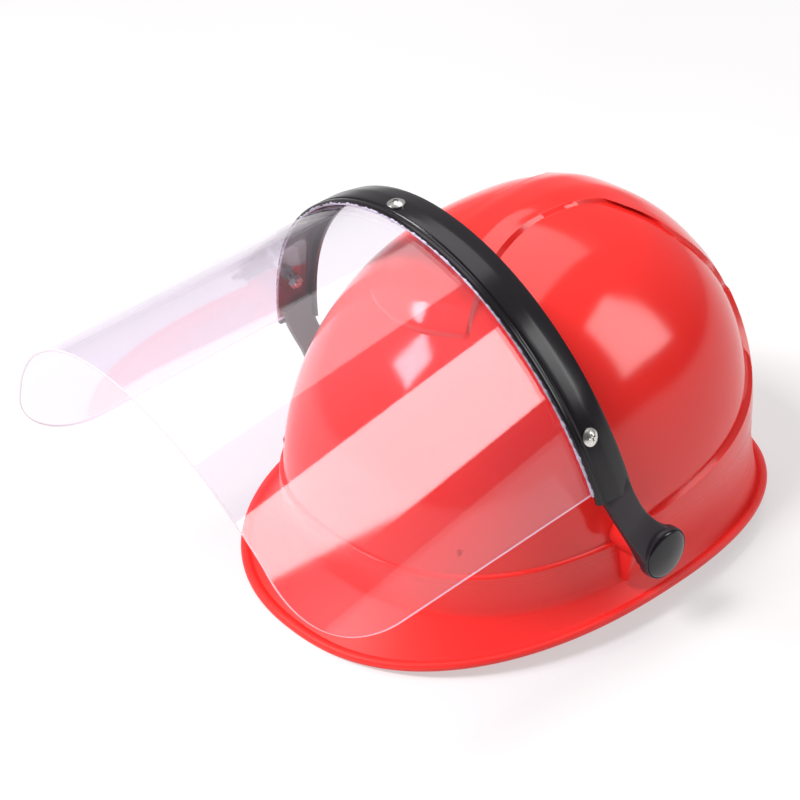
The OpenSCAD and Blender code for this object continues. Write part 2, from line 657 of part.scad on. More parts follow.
shell();
visor_frame();
visor();
visor_screws();
visor_nuts();
pivot_cap();  // pivot_cap_left
mirror([1, 0, 0]) pivot_cap();  // pivot_cap_right
pivot_bolt();  // pivot_bolt_left
mirror([1, 0, 0]) pivot_bolt();  // pivot_bolt_right
pivot_washer();  // pivot_washer_left
mirror([1, 0, 0]) pivot_washer();  // pivot_washer_right
pivot_nut();  // pivot_nut_left
mirror([1, 0, 0]) pivot_nut();  // pivot_nut_right
headband();
sweatband();
nape_strap_left();
nape_strap_right();
ratchet_housing();
ratchet_backplate();
ratchet_pinion();
ratchet_knob();
nape_pad();
clip_front_left();
clip_front_right();
clip_rear_left();
clip_rear_right();
crown_strap_lower();
crown_strap_upper();
chin_strap_left();
chin_strap_right();
chin_rivet_left();
chin_rivet_right();
buckle_socket();
buckle_plug();
strap_slider();
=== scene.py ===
# %% [markdown]
# # Firefighter helmet with a flip-up visor
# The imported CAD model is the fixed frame: it holds every size, place and joint. Around it this
# lesson builds what the eye sees. The smooth moulded shell, the glossy arch, the clear visor and
# the webbing inside are new meshes. Small rigid pieces keep their CAD mesh and get a finish.
# Every length is in metres, the front of the helmet faces -Y and the wearer's left is +X.

# %% Load the frame
import math

import bmesh
import bpy
import numpy as np
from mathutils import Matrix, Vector


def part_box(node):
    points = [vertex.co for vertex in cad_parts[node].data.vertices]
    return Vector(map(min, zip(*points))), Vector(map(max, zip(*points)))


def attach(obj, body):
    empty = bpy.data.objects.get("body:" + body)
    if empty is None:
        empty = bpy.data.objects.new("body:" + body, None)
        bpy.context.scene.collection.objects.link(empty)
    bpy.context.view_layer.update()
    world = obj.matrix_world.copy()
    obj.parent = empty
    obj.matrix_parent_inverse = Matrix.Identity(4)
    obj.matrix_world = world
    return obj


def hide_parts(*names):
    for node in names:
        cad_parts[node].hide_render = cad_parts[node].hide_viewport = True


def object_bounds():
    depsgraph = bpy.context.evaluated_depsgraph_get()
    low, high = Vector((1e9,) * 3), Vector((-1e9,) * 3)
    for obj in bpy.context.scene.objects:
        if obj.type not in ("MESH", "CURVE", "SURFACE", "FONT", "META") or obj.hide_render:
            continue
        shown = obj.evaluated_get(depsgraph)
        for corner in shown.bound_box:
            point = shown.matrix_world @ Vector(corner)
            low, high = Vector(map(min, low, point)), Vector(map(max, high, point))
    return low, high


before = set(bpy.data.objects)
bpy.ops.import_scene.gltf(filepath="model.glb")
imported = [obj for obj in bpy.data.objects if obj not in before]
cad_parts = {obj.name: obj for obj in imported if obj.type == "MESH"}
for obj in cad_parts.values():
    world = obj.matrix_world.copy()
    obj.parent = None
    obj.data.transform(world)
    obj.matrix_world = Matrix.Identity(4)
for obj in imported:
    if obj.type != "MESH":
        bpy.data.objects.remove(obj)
cad_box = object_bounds()
mm = 0.001

# %% [markdown]
# ## Camera and light
# The helmet is seen from its front left, from a little above. A long lens flattens the perspective,
# so near and far parts keep their proportions. The camera is placed by the point it looks at, its
# azimuth and elevation round that point, and a small roll.

# %% Camera
look_at = Vector((-36.2, -37.8, 67.3)) * mm
azimuth = math.radians(51.35)
elevation = math.radians(32.64)
camera_roll = math.radians(-3.98)
camera_distance = 0.932
focal_length = 82.95
back = Vector((math.sin(azimuth) * math.cos(elevation),
               -math.cos(azimuth) * math.cos(elevation), math.sin(elevation)))
camera_data = bpy.data.cameras.new("camera")
camera = bpy.data.objects.new("camera", camera_data)
bpy.context.scene.collection.objects.link(camera)
camera.location = look_at + back * camera_distance
camera.rotation_euler = back.to_track_quat("Z", "Y").to_euler()
camera.rotation_euler.rotate_axis("Z", camera_roll)
camera_data.sensor_width = 36
camera_data.lens = focal_length
camera_data.clip_start = 0.05
bpy.context.scene.camera = camera
print("camera at", tuple(round(x, 3) for x in camera.location))

# %% [markdown]
# A glossy shell shows its lights, so their shape and direction matter as much as their strength.
# A tall softbox behind the wearer's left shoulder draws the long streaks on the arch and the visor.
# A smaller one in front lights the dome under the visor. The sky is bright overhead and behind, and
# darker on the camera's side, which gives the red its depth.

# %% Lights
dome_middle = Vector((0, 0, 0.08))


def softbox(name, azimuth_deg, elevation_deg, distance, width, height, power):
    """A rectangular area light that looks at the middle of the dome: degrees, metres and watts."""
    turn, lift = math.radians(azimuth_deg), math.radians(elevation_deg)
    away = Vector((math.sin(turn) * math.cos(lift), -math.cos(turn) * math.cos(lift), math.sin(lift)))
    lamp = bpy.data.lights.new(name, "AREA")
    lamp.shape = "RECTANGLE"
    lamp.size, lamp.size_y = width, height
    lamp.energy = power
    holder = bpy.data.objects.new(name, lamp)
    bpy.context.scene.collection.objects.link(holder)
    holder.location = dome_middle + away * distance
    holder.rotation_euler = away.to_track_quat("Z", "Y").to_euler()
    return holder


softbox("softbox_left_rear", 131, 26, 3.0, 0.80, 1.50, 20)
softbox("softbox_front", -35, 38, 1.5, 0.36, 0.40, 8)
softbox("softbox_top", 200, 74, 1.6, 1.3, 1.1, 9)
key = softbox("key", -14, 56, 3.4, 0.95, 0.95, 128)
key.visible_glossy = False

world = bpy.data.worlds.new("studio")
bpy.context.scene.world = world
world.use_nodes = True
sky = world.node_tree
sky.nodes.clear()
sky_out = sky.nodes.new("ShaderNodeOutputWorld")
sky_glow = sky.nodes.new("ShaderNodeBackground")
sky_where = sky.nodes.new("ShaderNodeTexCoord")
sky_side = sky.nodes.new("ShaderNodeVectorMath")
sky_side.operation = "DOT_PRODUCT"
bright_side = Vector((-0.62, 0.42, 0.66)).normalized()
dim_sky, bright_sky = (0.26, 0.26, 0.28, 1), (0.95, 0.95, 0.97, 1)
sky_side.inputs[1].default_value = bright_side
sky_ramp = sky.nodes.new("ShaderNodeValToRGB")
sky_ramp.color_ramp.interpolation = "EASE"
for element, place, colour in zip(sky_ramp.color_ramp.elements, (0.0, 0.62), (dim_sky, bright_sky)):
    element.position = place
    element.color = colour
sky.links.new(sky_where.outputs["Generated"], sky_side.inputs[0])
sky.links.new(sky_side.outputs["Value"], sky_ramp.inputs["Fac"])
sky.links.new(sky_ramp.outputs["Color"], sky_glow.inputs["Color"])
sky.links.new(sky_glow.outputs["Background"], sky_out.inputs["Surface"])
sky_glow.inputs["Strength"].default_value = 0.42
bpy.context.scene.view_settings.view_transform = "Standard"

# %% [markdown]
# ## Helpers
# Blender's operators act on whatever is selected, so each step starts with nothing selected.
# `loft` is how most of the swept pieces are drawn: a circle is extruded again and again in edit
# mode, and the points of each new ring are set. A number on each point remembers its place.

# %% Helpers for objects
def clear():
    """Leaves nothing selected."""
    if bpy.context.mode != "OBJECT":
        bpy.ops.object.mode_set(mode="OBJECT")
    bpy.ops.object.select_all(action="DESELECT")


def only(piece):
    """Selects one object and makes it active."""
    clear()
    piece.select_set(True)
    bpy.context.view_layer.objects.active = piece
    return piece


def new_primitive(name, add, **where):
    """Adds a primitive with its own mesh and a plain name."""
    clear()
    add(**where)
    piece = bpy.context.object
    piece.name = piece.data.name = name
    return piece


def set_points(piece, points):
    """Moves every vertex of a mesh to a new place."""
    piece.data.vertices.foreach_set("co", np.asarray(points, np.float32).ravel())
    piece.data.update()


def get_points(piece):
    """The places of a mesh's vertices, one row each."""
    return np.array([v.co for v in piece.data.vertices]).reshape(-1, 3)


def join(pieces, name):
    """Makes one object of several."""
    only(pieces[0])
    for other in pieces[1:]:
        other.select_set(True)
    bpy.ops.object.join()
    piece = bpy.context.object
    piece.name = piece.data.name = name
    return piece


def bake_place(piece):
    """Puts an object's place, turn and size into its mesh."""
    only(piece)
    bpy.ops.object.transform_apply(location=True, rotation=True, scale=True)
    return piece


def smooth(piece, degrees=40):
    """Shades a piece smooth, but keeps its edges sharper than this angle."""
    only(piece)
    bpy.ops.object.shade_smooth_by_angle(angle=math.radians(degrees))
    return piece


def edit(piece):
    """Opens a piece in edit mode with everything selected."""
    only(piece)
    bpy.ops.object.mode_set(mode="EDIT")
    bpy.ops.mesh.select_all(action="SELECT")


def select_rim():
    """Selects the open edges of the mesh that is being edited."""
    bpy.ops.mesh.select_all(action="DESELECT")
    bpy.ops.mesh.select_non_manifold(extend=False, use_wire=False, use_multi_face=False,
                                     use_non_contiguous=False, use_verts=False)


def bevel(piece, width, segments=2, degrees=35):
    """Rounds the edges of a piece and applies the modifier."""
    only(piece)
    rounding = piece.modifiers.new("bevel", "BEVEL")
    rounding.width, rounding.segments = width, segments
    rounding.limit_method = "ANGLE"
    rounding.angle_limit = math.radians(degrees)
    bpy.ops.object.modifier_apply(modifier="bevel")
    return piece


def outward(piece):
    """Turns every face outwards, after merging what lies in one place."""
    edit(piece)
    bpy.ops.mesh.remove_doubles(threshold=0.02 * mm)
    bpy.ops.mesh.normals_make_consistent(inside=False)
    bpy.ops.object.mode_set(mode="OBJECT")
    return piece


def mirrored(piece, name):
    """A copy on the other side of the helmet, with its own mesh."""
    only(piece)
    bpy.ops.object.duplicate()
    twin = bpy.context.object
    twin.name = twin.data.name = name
    points = get_points(twin)
    points[:, 0] *= -1
    set_points(twin, points)
    edit(twin)
    bpy.ops.mesh.flip_normals()
    bpy.ops.object.mode_set(mode="OBJECT")
    return twin


def finish_piece(piece, body, finish, replaces=()):
    """Gives a piece its finish and its body, and hides the CAD nodes it stands for."""
    if finish:
        piece.data.materials.clear()
        piece.data.materials.append(finish)
    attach(piece, body)
    if replaces:
        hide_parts(*replaces)
    triangles = sum(len(p.vertices) - 2 for p in piece.data.polygons)
    print(f"{piece.name}: {triangles} triangles, on {body}")
    return piece


def faces_at_edges(piece):
    """How many faces meet at each edge."""
    shape = bmesh.new()
    shape.from_mesh(piece.data)
    counts = [len(edge.link_faces) for edge in shape.edges]
    shape.free()
    return counts


# %% Helper for swept pieces
def loft(name, rings, closed=False):
    """Extrudes a circle ring by ring through lists of points, then closes its ends or itself."""
    piece = new_primitive(name, bpy.ops.mesh.primitive_circle_add, vertices=len(rings[0]), radius=0.01)
    edit(piece)
    shape = bmesh.from_edit_mesh(piece.data)
    shape.verts.ensure_lookup_table()
    order = shape.verts.layers.int.new("order")
    station = shape.verts.layers.int.new("station")
    for i, vertex in enumerate(shape.verts):
        vertex[order] = i
        vertex.co = rings[0][i]
    for count, ring in enumerate(rings[1:], 1):
        bpy.ops.mesh.extrude_edges_move()
        shape = bmesh.from_edit_mesh(piece.data)
        order = shape.verts.layers.int["order"]
        station = shape.verts.layers.int["station"]
        for vertex in shape.verts:
            if vertex.select:
                vertex.co = ring[vertex[order]]
                vertex[station] = count
    bmesh.update_edit_mesh(piece.data)
    if closed:
        select_rim()
        bpy.ops.mesh.bridge_edge_loops()
    else:
        bpy.ops.mesh.select_all(action="SELECT")
        bpy.ops.mesh.fill_holes(sides=0)
    bpy.ops.mesh.select_all(action="SELECT")
    bpy.ops.mesh.normals_make_consistent(inside=False)
    bpy.ops.object.mode_set(mode="OBJECT")
    return piece


def remembered(piece, number):
    """What each point of a swept piece remembers: its order in its ring, or its ring's station."""
    return np.array([point.value for point in piece.data.attributes[number].data])

# %% [markdown]
# ## Finishes
# Each finish is a small node tree on the Principled shader. Moulded plastic is never quite flat: the
# red shell has a faint orange peel, the black arch fine flow lines, and worn parts a little dust.
# The noise is read on Object coordinates, in metres, so a scale of 200 means grains of 5 mm.

# %% Helpers for finishes
def new_finish(name):
    """A material on the Principled shader, with its tree and its shader node."""
    finish = bpy.data.materials.new(name)
    finish.use_nodes = True
    return finish, finish.node_tree, finish.node_tree.nodes["Principled BSDF"]


def noise(tree, scale, detail=2.0, stretch=(1, 1, 1)):
    """A noise texture on the piece's own coordinates."""
    place = tree.nodes.new("ShaderNodeTexCoord")
    mapping = tree.nodes.new("ShaderNodeMapping")
    mapping.inputs["Scale"].default_value = stretch
    pattern = tree.nodes.new("ShaderNodeTexNoise")
    pattern.inputs["Scale"].default_value = scale
    pattern.inputs["Detail"].default_value = detail
    tree.links.new(place.outputs["Object"], mapping.inputs["Vector"])
    tree.links.new(mapping.outputs["Vector"], pattern.inputs["Vector"])
    return pattern.outputs["Fac"]


def ramp(tree, value, low, high, position=(0.3, 0.7)):
    """Maps a value to a blend of two colours."""
    node = tree.nodes.new("ShaderNodeValToRGB")
    for element, place, colour in zip(node.color_ramp.elements, position, (low, high)):
        element.position = place
        element.color = (*colour, 1)
    tree.links.new(value, node.inputs["Fac"])
    return node.outputs["Color"]


def spread(tree, value, low, high, start=0.0, stop=1.0):
    """Maps a value between start and stop to one between low and high."""
    node = tree.nodes.new("ShaderNodeMapRange")
    for socket, number in (("From Min", start), ("From Max", stop), ("To Min", low), ("To Max", high)):
        node.inputs[socket].default_value = number
    tree.links.new(value, node.inputs["Value"])
    return node.outputs["Result"]


def coordinate(tree, axis):
    """One of the piece's own coordinates, in metres."""
    place = tree.nodes.new("ShaderNodeTexCoord")
    split = tree.nodes.new("ShaderNodeSeparateXYZ")
    tree.links.new(place.outputs["Object"], split.inputs[0])
    return split.outputs[axis]


def bump(tree, shader, height, strength, distance):
    """Makes the surface look raised by a height pattern."""
    node = tree.nodes.new("ShaderNodeBump")
    node.inputs["Strength"].default_value = strength
    node.inputs["Distance"].default_value = distance
    tree.links.new(height, node.inputs["Height"])
    tree.links.new(node.outputs["Normal"], shader.inputs["Normal"])


def shade(colour, factor):
    """A lighter or darker version of a colour."""
    return tuple(min(1, c * factor) for c in colour)


def plastic(name, colour, roughness, grain=600, grain_height=0.02, variation=0.08, shine=0.5):
    """Moulded plastic: a slight change of colour and gloss over it, and a fine moulded grain."""
    finish, tree, shader = new_finish(name)
    shader.inputs["Specular IOR Level"].default_value = shine
    drift = noise(tree, 18, 3)
    tree.links.new(ramp(tree, drift, shade(colour, 1 - variation), shade(colour, 1 + variation)),
                   shader.inputs["Base Color"])
    tree.links.new(spread(tree, noise(tree, 70, 4), roughness * 0.85, roughness * 1.15),
                   shader.inputs["Roughness"])
    bump(tree, shader, noise(tree, grain, 2), 0.35, grain_height * mm)
    return finish


def steel(name, colour, roughness):
    """Plated steel: metallic, with fine turning marks and a little dullness."""
    finish, tree, shader = new_finish(name)
    shader.inputs["Metallic"].default_value = 1.0
    tree.links.new(ramp(tree, noise(tree, 300, 3), shade(colour, 0.8), colour), shader.inputs["Base Color"])
    tree.links.new(spread(tree, noise(tree, 500, 4), roughness * 0.7, roughness * 1.3),
                   shader.inputs["Roughness"])
    bump(tree, shader, noise(tree, 1800, 2, stretch=(1, 1, 0.2)), 0.2, 0.01 * mm)
    return finish


def webbing(name, colour, warp=1.1, weft=0.9):
    """Woven tape: ribs along and across the tape, read from the piece's own weave attribute."""
    finish, tree, shader = new_finish(name)
    weave = tree.nodes.new("ShaderNodeAttribute")
    weave.attribute_name = "weave"
    ribs = []
    for axis, pitch, phase in (("X", warp, 0.0), ("Y", weft, 1.6)):
        rib = tree.nodes.new("ShaderNodeTexWave")
        rib.wave_type = "BANDS"
        rib.bands_direction = axis
        rib.inputs["Scale"].default_value = 0.314 / (pitch * mm)
        rib.inputs["Phase Offset"].default_value = phase
        rib.inputs["Distortion"].default_value = 0.6
        rib.inputs["Detail Scale"].default_value = 2.0
        tree.links.new(weave.outputs["Vector"], rib.inputs["Vector"])
        ribs.append(rib.outputs["Fac"])
    crossing = tree.nodes.new("ShaderNodeMath")
    crossing.operation = "MULTIPLY"
    tree.links.new(ribs[0], crossing.inputs[0])
    tree.links.new(ribs[1], crossing.inputs[1])
    tree.links.new(ramp(tree, crossing.outputs[0], shade(colour, 0.55), shade(colour, 1.15), (0.0, 0.6)),
                   shader.inputs["Base Color"])
    shader.inputs["Roughness"].default_value = 0.82
    shader.inputs["Sheen Weight"].default_value = 0.3
    bump(tree, shader, crossing.outputs[0], 0.8, 0.25 * mm)
    return finish

# %% [markdown]
# The shell is injection-moulded in a saturated red. Its gloss is high but not perfect, so the
# highlights keep soft edges. The visor is clear polycarbonate with a faint violet tint. It is thin,
# so light hardly bends in it: a mix of a clear pass and a mirror-like coat by viewing angle gives
# its haze and its strong reflections. A bent sheet relaxes towards its free end, which swings its
# mirror image round a little, so the coat reads a tilted normal.

# %% Finishes of this helmet
dull_low, dull_high = 22 * mm, 50 * mm
sheet_start, sheet_end = -30 * mm, -220 * mm


def make_shell_red():
    """Saturated red, glossy on the dome and duller on the brim, where hands and tables rub it."""
    finish, tree, shader = new_finish("shell_red")
    tree.links.new(ramp(tree, noise(tree, 9, 2), (0.80, 0.021, 0.017), (0.86, 0.029, 0.024)),
                   shader.inputs["Base Color"])
    roughness = tree.nodes.new("ShaderNodeMath")
    roughness.operation = "ADD"
    wear = spread(tree, coordinate(tree, "Z"), 0.34, 0.0, dull_low, dull_high)
    tree.links.new(wear, roughness.inputs[0])
    tree.links.new(spread(tree, noise(tree, 60, 4), 0.10, 0.15), roughness.inputs[1])
    tree.links.new(roughness.outputs[0], shader.inputs["Roughness"])
    shader.inputs["Specular IOR Level"].default_value = 0.5
    bump(tree, shader, noise(tree, 170, 2), 0.10, 0.03 * mm)
    return finish


def relaxed_normal(tree):
    """The way the visor's face looks, tilted more and more towards the sheet's free end."""
    face = tree.nodes.new("ShaderNodeNewGeometry")
    tilt = tree.nodes.new("ShaderNodeCombineXYZ")
    turned_face = tree.nodes.new("ShaderNodeVectorMath")
    turned_face.operation = "ADD"
    unit = tree.nodes.new("ShaderNodeVectorMath")
    unit.operation = "NORMALIZE"
    for axis, first, last in (("Y", 0.02, 0.12), ("Z", -0.10, 0.10)):
        swing = spread(tree, coordinate(tree, "Y"), first, last, sheet_start, sheet_end)
        tree.links.new(swing, tilt.inputs[axis])
    tree.links.new(face.outputs["Normal"], turned_face.inputs[0])
    tree.links.new(tilt.outputs[0], turned_face.inputs[1])
    tree.links.new(turned_face.outputs[0], unit.inputs[0])
    return unit.outputs[0]


def make_visor_clear():
    """A clear sheet: mostly see-through, with a mirror coat that grows at grazing angles."""
    finish = bpy.data.materials.new("visor_clear")
    finish.use_nodes = True
    tree = finish.node_tree
    tree.nodes.clear()
    output = tree.nodes.new("ShaderNodeOutputMaterial")
    through = tree.nodes.new("ShaderNodeBsdfTransparent")
    through.inputs["Color"].default_value = (0.984, 0.962, 1.0, 1)
    gloss = tree.nodes.new("ShaderNodeBsdfGlossy")
    gloss.inputs["Color"].default_value = (1, 1, 1, 1)
    gloss.inputs["Roughness"].default_value = 0.045
    haze = tree.nodes.new("ShaderNodeBsdfDiffuse")
    haze.inputs["Color"].default_value = (0.80, 0.74, 0.88, 1)
    angle = tree.nodes.new("ShaderNodeLayerWeight")
    angle.inputs["Blend"].default_value = 0.5
    grazing = tree.nodes.new("ShaderNodeMath")
    grazing.operation = "POWER"
    grazing.inputs[1].default_value = 4.5
    tree.links.new(angle.outputs["Facing"], grazing.inputs[0])
    mirror = spread(tree, grazing.outputs[0], 0.05, 0.7)
    tree.links.new(relaxed_normal(tree), gloss.inputs["Normal"])
    veil = tree.nodes.new("ShaderNodeMixShader")
    veil.inputs["Fac"].default_value = 0.01
    coat = tree.nodes.new("ShaderNodeMixShader")
    tree.links.new(through.outputs[0], veil.inputs[1])
    tree.links.new(haze.outputs[0], veil.inputs[2])
    tree.links.new(mirror, coat.inputs["Fac"])
    tree.links.new(veil.outputs[0], coat.inputs[1])
    tree.links.new(gloss.outputs[0], coat.inputs[2])
    tree.links.new(coat.outputs[0], output.inputs["Surface"])
    return finish


def make_visor_rim():
    """The sheet's polished edge gathers light and looks a little denser than its faces."""
    finish, tree, shader = new_finish("visor_rim")
    shader.inputs["Base Color"].default_value = (0.70, 0.60, 0.68, 1)
    tree.links.new(spread(tree, noise(tree, 90, 2), 0.15, 0.3), shader.inputs["Roughness"])
    shader.inputs["Alpha"].default_value = 0.7
    return finish


shell_red = make_shell_red()
visor_rim = make_visor_rim()
visor_clear = make_visor_clear()
frame_black = plastic("frame_black", (0.008, 0.006, 0.008), 0.20, grain=900, variation=0.2, shine=0.36)
arm_grey = plastic("arm_grey", (0.024, 0.017, 0.023), 0.40, grain=1400, grain_height=0.03,
                   variation=0.1, shine=0.34)
cap_black = plastic("cap_black", (0.008, 0.007, 0.010), 0.16, grain=900, shine=0.45)
screw_steel = steel("screw_steel", (0.78, 0.76, 0.72), 0.28)
nut_steel = steel("nut_steel", (0.62, 0.62, 0.63), 0.36)
band_plastic = plastic("band_plastic", (0.022, 0.022, 0.024), 0.45, grain=1500, grain_height=0.04)
ratchet_plastic = plastic("ratchet_plastic", (0.016, 0.016, 0.018), 0.4, grain=1500, grain_height=0.04)
sealant_white = plastic("sealant_white", (0.40, 0.36, 0.46), 0.5, grain=1200, grain_height=0.1, variation=0.5)
pinion_plastic = plastic("pinion_plastic", (0.55, 0.54, 0.50), 0.4, grain=1200)
clip_plastic = plastic("clip_plastic", (0.62, 0.60, 0.54), 0.38, grain=1200)
buckle_plastic = plastic("buckle_plastic", (0.015, 0.015, 0.017), 0.35, grain=1500)
crown_webbing = webbing("crown_webbing", (0.60, 0.57, 0.48))
chin_webbing = webbing("chin_webbing", (0.022, 0.022, 0.025))


def make_foam():
    """Brushed knit over foam: a soft nap with fine loops."""
    finish, tree, shader = new_finish("sweat_foam")
    tree.links.new(ramp(tree, noise(tree, 900, 3), (0.030, 0.030, 0.034), (0.075, 0.075, 0.082)),
                   shader.inputs["Base Color"])
    shader.inputs["Roughness"].default_value = 0.95
    shader.inputs["Sheen Weight"].default_value = 0.5
    bump(tree, shader, noise(tree, 1600, 2), 0.6, 0.2 * mm)
    return finish


sweat_foam = make_foam()
print("materials made so far:", len(bpy.data.materials))

# %% [markdown]
# ## The floor
# A wide pale floor takes the soft shadow. It is part of the stage and not of the helmet.

# %% Floor
floor_drop = 0.3 * mm
floor = new_primitive("floor", bpy.ops.mesh.primitive_plane_add, size=60,
                      location=(0, 0, cad_box[0].z - floor_drop))
floor_white, floor_tree, floor_shader = new_finish("floor_white")
floor_shader.inputs["Roughness"].default_value = 0.9
floor_shader.inputs["Specular IOR Level"].default_value = 0.1
floor_shader.inputs["Emission Color"].default_value = (1, 1, 1, 1)
floor_shader.inputs["Emission Strength"].default_value = 0.52
floor_tree.links.new(ramp(floor_tree, noise(floor_tree, 3, 1), (0.31, 0.30, 0.30), (0.33, 0.32, 0.32)),
                     floor_shader.inputs["Base Color"])
floor.data.materials.append(floor_white)

# %% [markdown]
# ## The moulded shell
# The shell is one moulding: an egg-shaped dome with a raised central crest, a raised panel that
# sweeps round the back, a ledge at the hat-band line, and a sloping brim with a rounded edge.
# It could be carved from a subdivided cube, but the raised edges would then cross its faces.
# Here a sphere is laid with its poles at the two hubs, where the arch hides them. Its rows then run
# from front to back, as the crest does, and its meridians run round the head, as the steps do.
# The rows and meridians are slid until one of each lies along every raised edge.

# %% Shape of the dome
shell_low, shell_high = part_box("shell")
bolt_low, bolt_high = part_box("pivot_bolt_left")
pivot = Vector((0, (bolt_low.y + bolt_high.y) / 2, (bolt_low.z + bolt_high.z) / 2))
brim_half_w = shell_high.x
brim_half_l = (shell_high.y - shell_low.y) / 2
shell_half_w = brim_half_w - 15.5 * mm
shell_front = 121 * mm
shell_rear = 118 * mm
band_z = pivot.z - 2.5 * mm
crest_h = 3 * mm
step_h = 2.6 * mm
dome_h = shell_high.z - crest_h - band_z
widest_y = pivot.y + 26 * mm
crown_back = 15.5 * mm
plan_n = 2.5
front_n = 2.06
rear_n = 1.93
wall = 2.5 * mm
hub_axis = Vector((0, pivot.y, band_z))


def dome_level(points, grow):
    """1 on the dome's skin, less inside it and more outside it."""
    x, y, z = points[..., 0], points[..., 1], points[..., 2]
    up = np.clip((z - band_z) / (dome_h + grow), 0, None)
    y = y - widest_y - crown_back * up
    across = np.abs(x) / (shell_half_w + grow)
    along = np.abs(y) / np.where(y < 0, shell_front + grow, shell_rear + grow)
    turn = np.arctan2(along * np.sign(y), across)
    side_n = (front_n + rear_n - (front_n - rear_n) * np.sin(turn)) / 2
    plan = (across ** plan_n + along ** plan_n) ** (1 / plan_n)
    return (plan ** side_n + up ** side_n) ** (1 / side_n)


def on_dome(row_angle, meridian, grow=0.0):
    """Points on the dome seen from the hub axis, found by halving: angles in radians."""
    ray = np.stack([np.cos(row_angle), -np.sin(row_angle) * np.cos(meridian),
                    np.sin(row_angle) * np.sin(meridian)], axis=-1)
    near = np.zeros(ray.shape[:-1])
    far = np.full(ray.shape[:-1], 0.3)
    start = np.array(hub_axis)
    for _ in range(34):
        middle = (near + far) / 2
        inside = dome_level(start + ray * middle[..., None], grow) < 1
        near = np.where(inside, middle, near)
        far = np.where(inside, far, middle)
    return start + ray * near[..., None]


top = on_dome(np.array([math.pi / 2]), np.array([math.pi / 2]))
print("height of the dome over the hub axis:", round(float(top[0, 2]) / mm, 1), "mm")

# %% [markdown]
# The crest is narrow at its waist and flares towards the badge at the front and the panel at the
# back. The panel's upper edge rises from the hub, slowly round the side and then quickly up the
# back. Each edge gets four grid lines: two for the slope of the step and one on either side, close
# to it, so that smooth shading keeps the edge crisp.

# %% Rows, meridians and raised edges
rows_side = 54
rows_crest = 20
half_rows = rows_side + rows_crest
meridians = 150
lip_at = 52
step_at = 124


def ease(value):
    """A smooth step from 0 to 1."""
    value = np.clip(value, 0, 1)
    return value * value * (3 - 2 * value)


def crest_half_width(y):
    """Half the width of the crest at a place along the helmet."""
    flare = np.where(y < 12 * mm, 4.4, 3.0) * (y - 12 * mm) ** 2
    shoulder = 8 * mm * ease((y - 62 * mm) / (36 * mm))
    return np.clip(16 * mm + flare + shoulder, 0, 50 * mm)


def step_angle(x):
    """Angle of the rear panel's upper edge above the hat-band line, seen from the hub axis."""
    x = np.abs(x) / mm
    early = 8 + 0.16 * (100 - x)
    late = 0.58 * 6 * np.log1p(np.exp((70 - x) / 6))
    return np.radians(np.clip(early + late, 0, 36))


def lip_angle(x):
    """Angle of the badge's lower lip above the hat-band line at the front."""
    return np.radians(63.3 + 0.0048 * np.clip((np.abs(x) / mm), 0, 50) ** 2)


def between(anchors, count):
    """Spreads count + 1 values evenly between anchored places along the last axis."""
    places = [a for a, _ in anchors]
    values = np.stack([np.broadcast_to(v, anchors[0][1].shape) for _, v in anchors], axis=-1)
    out = np.empty(values.shape[:-1] + (count + 1,))
    for i in range(count + 1):
        k = min(np.searchsorted(places, i, side="right") - 1, len(places) - 2)
        share = (i - places[k]) / (places[k + 1] - places[k])
        out[..., i] = values[..., k] * (1 - share) + values[..., k + 1] * share
    return out


def shell_grid():
    """Angles of every grid point on the +X half, slid until grid lines follow the raised edges."""
    row_angle = np.broadcast_to(np.linspace(0, math.pi / 2, half_rows + 1)[:, None],
                                (half_rows + 1, meridians + 1)).copy()
    meridian = np.broadcast_to(np.linspace(0, math.pi, meridians + 1)[None, :], row_angle.shape).copy()
    one = mm / shell_rear
    for _ in range(6):
        points = on_dome(row_angle, meridian)
        x, y = points[..., 0], points[..., 1]
        edge = np.empty(meridians + 1)
        for i in range(meridians + 1):
            gap = crest_half_width(y[:, i]) - x[:, i]
            edge[i] = np.interp(0, gap, row_angle[:, i])
        row_angle = between([(0, np.zeros(meridians + 1)), (rows_side - 3, edge - 2.4 * one),
                             (rows_side - 2, edge - 1.3 * one), (rows_side - 1, edge - 0.6 * one),
                             (rows_side, edge + 0.6 * one), (rows_side + 1, edge + 1.3 * one),
                             (half_rows, np.full(meridians + 1, math.pi / 2))], half_rows).T
        side_x = x[:, step_at]
        rise = math.pi - step_angle(side_x)
        lip = lip_angle(x[:, lip_at])
        meridian = between([(0, np.zeros(half_rows + 1)), (lip_at - 1, lip - 1.5 * one),
                            (lip_at, lip), (lip_at + 1, lip + 1.6 * one), (lip_at + 2, lip + 2.6 * one),
                            (lip_at + 8, lip + 14 * one), (lip_at + 9, lip + 15 * one),
                            (step_at - 1, rise - 1.4 * one), (step_at, rise),
                            (step_at + 1, rise + 2.4 * one), (step_at + 2, rise + 3.6 * one),
                            (meridians, np.full(half_rows + 1, math.pi))], meridians)
    return row_angle, meridian


row_angle, meridian = shell_grid()
bare = on_dome(row_angle, meridian)
print("grid of the shell:", bare.shape, "crest half-width at the crown:",
      round(float(bare[rows_side, meridians // 2, 0]) / mm, 1), "mm")

# %% [markdown]
# Now the height of each grid point above the plain dome. The crest stands 3 mm proud along its
# middle and a little less at its edges. At the front it ends in the badge plate: its top runs on
# straighter than the dome, then breaks into a steeper face, which ends in a lip. Near the hub the
# rear panel's step fades out.

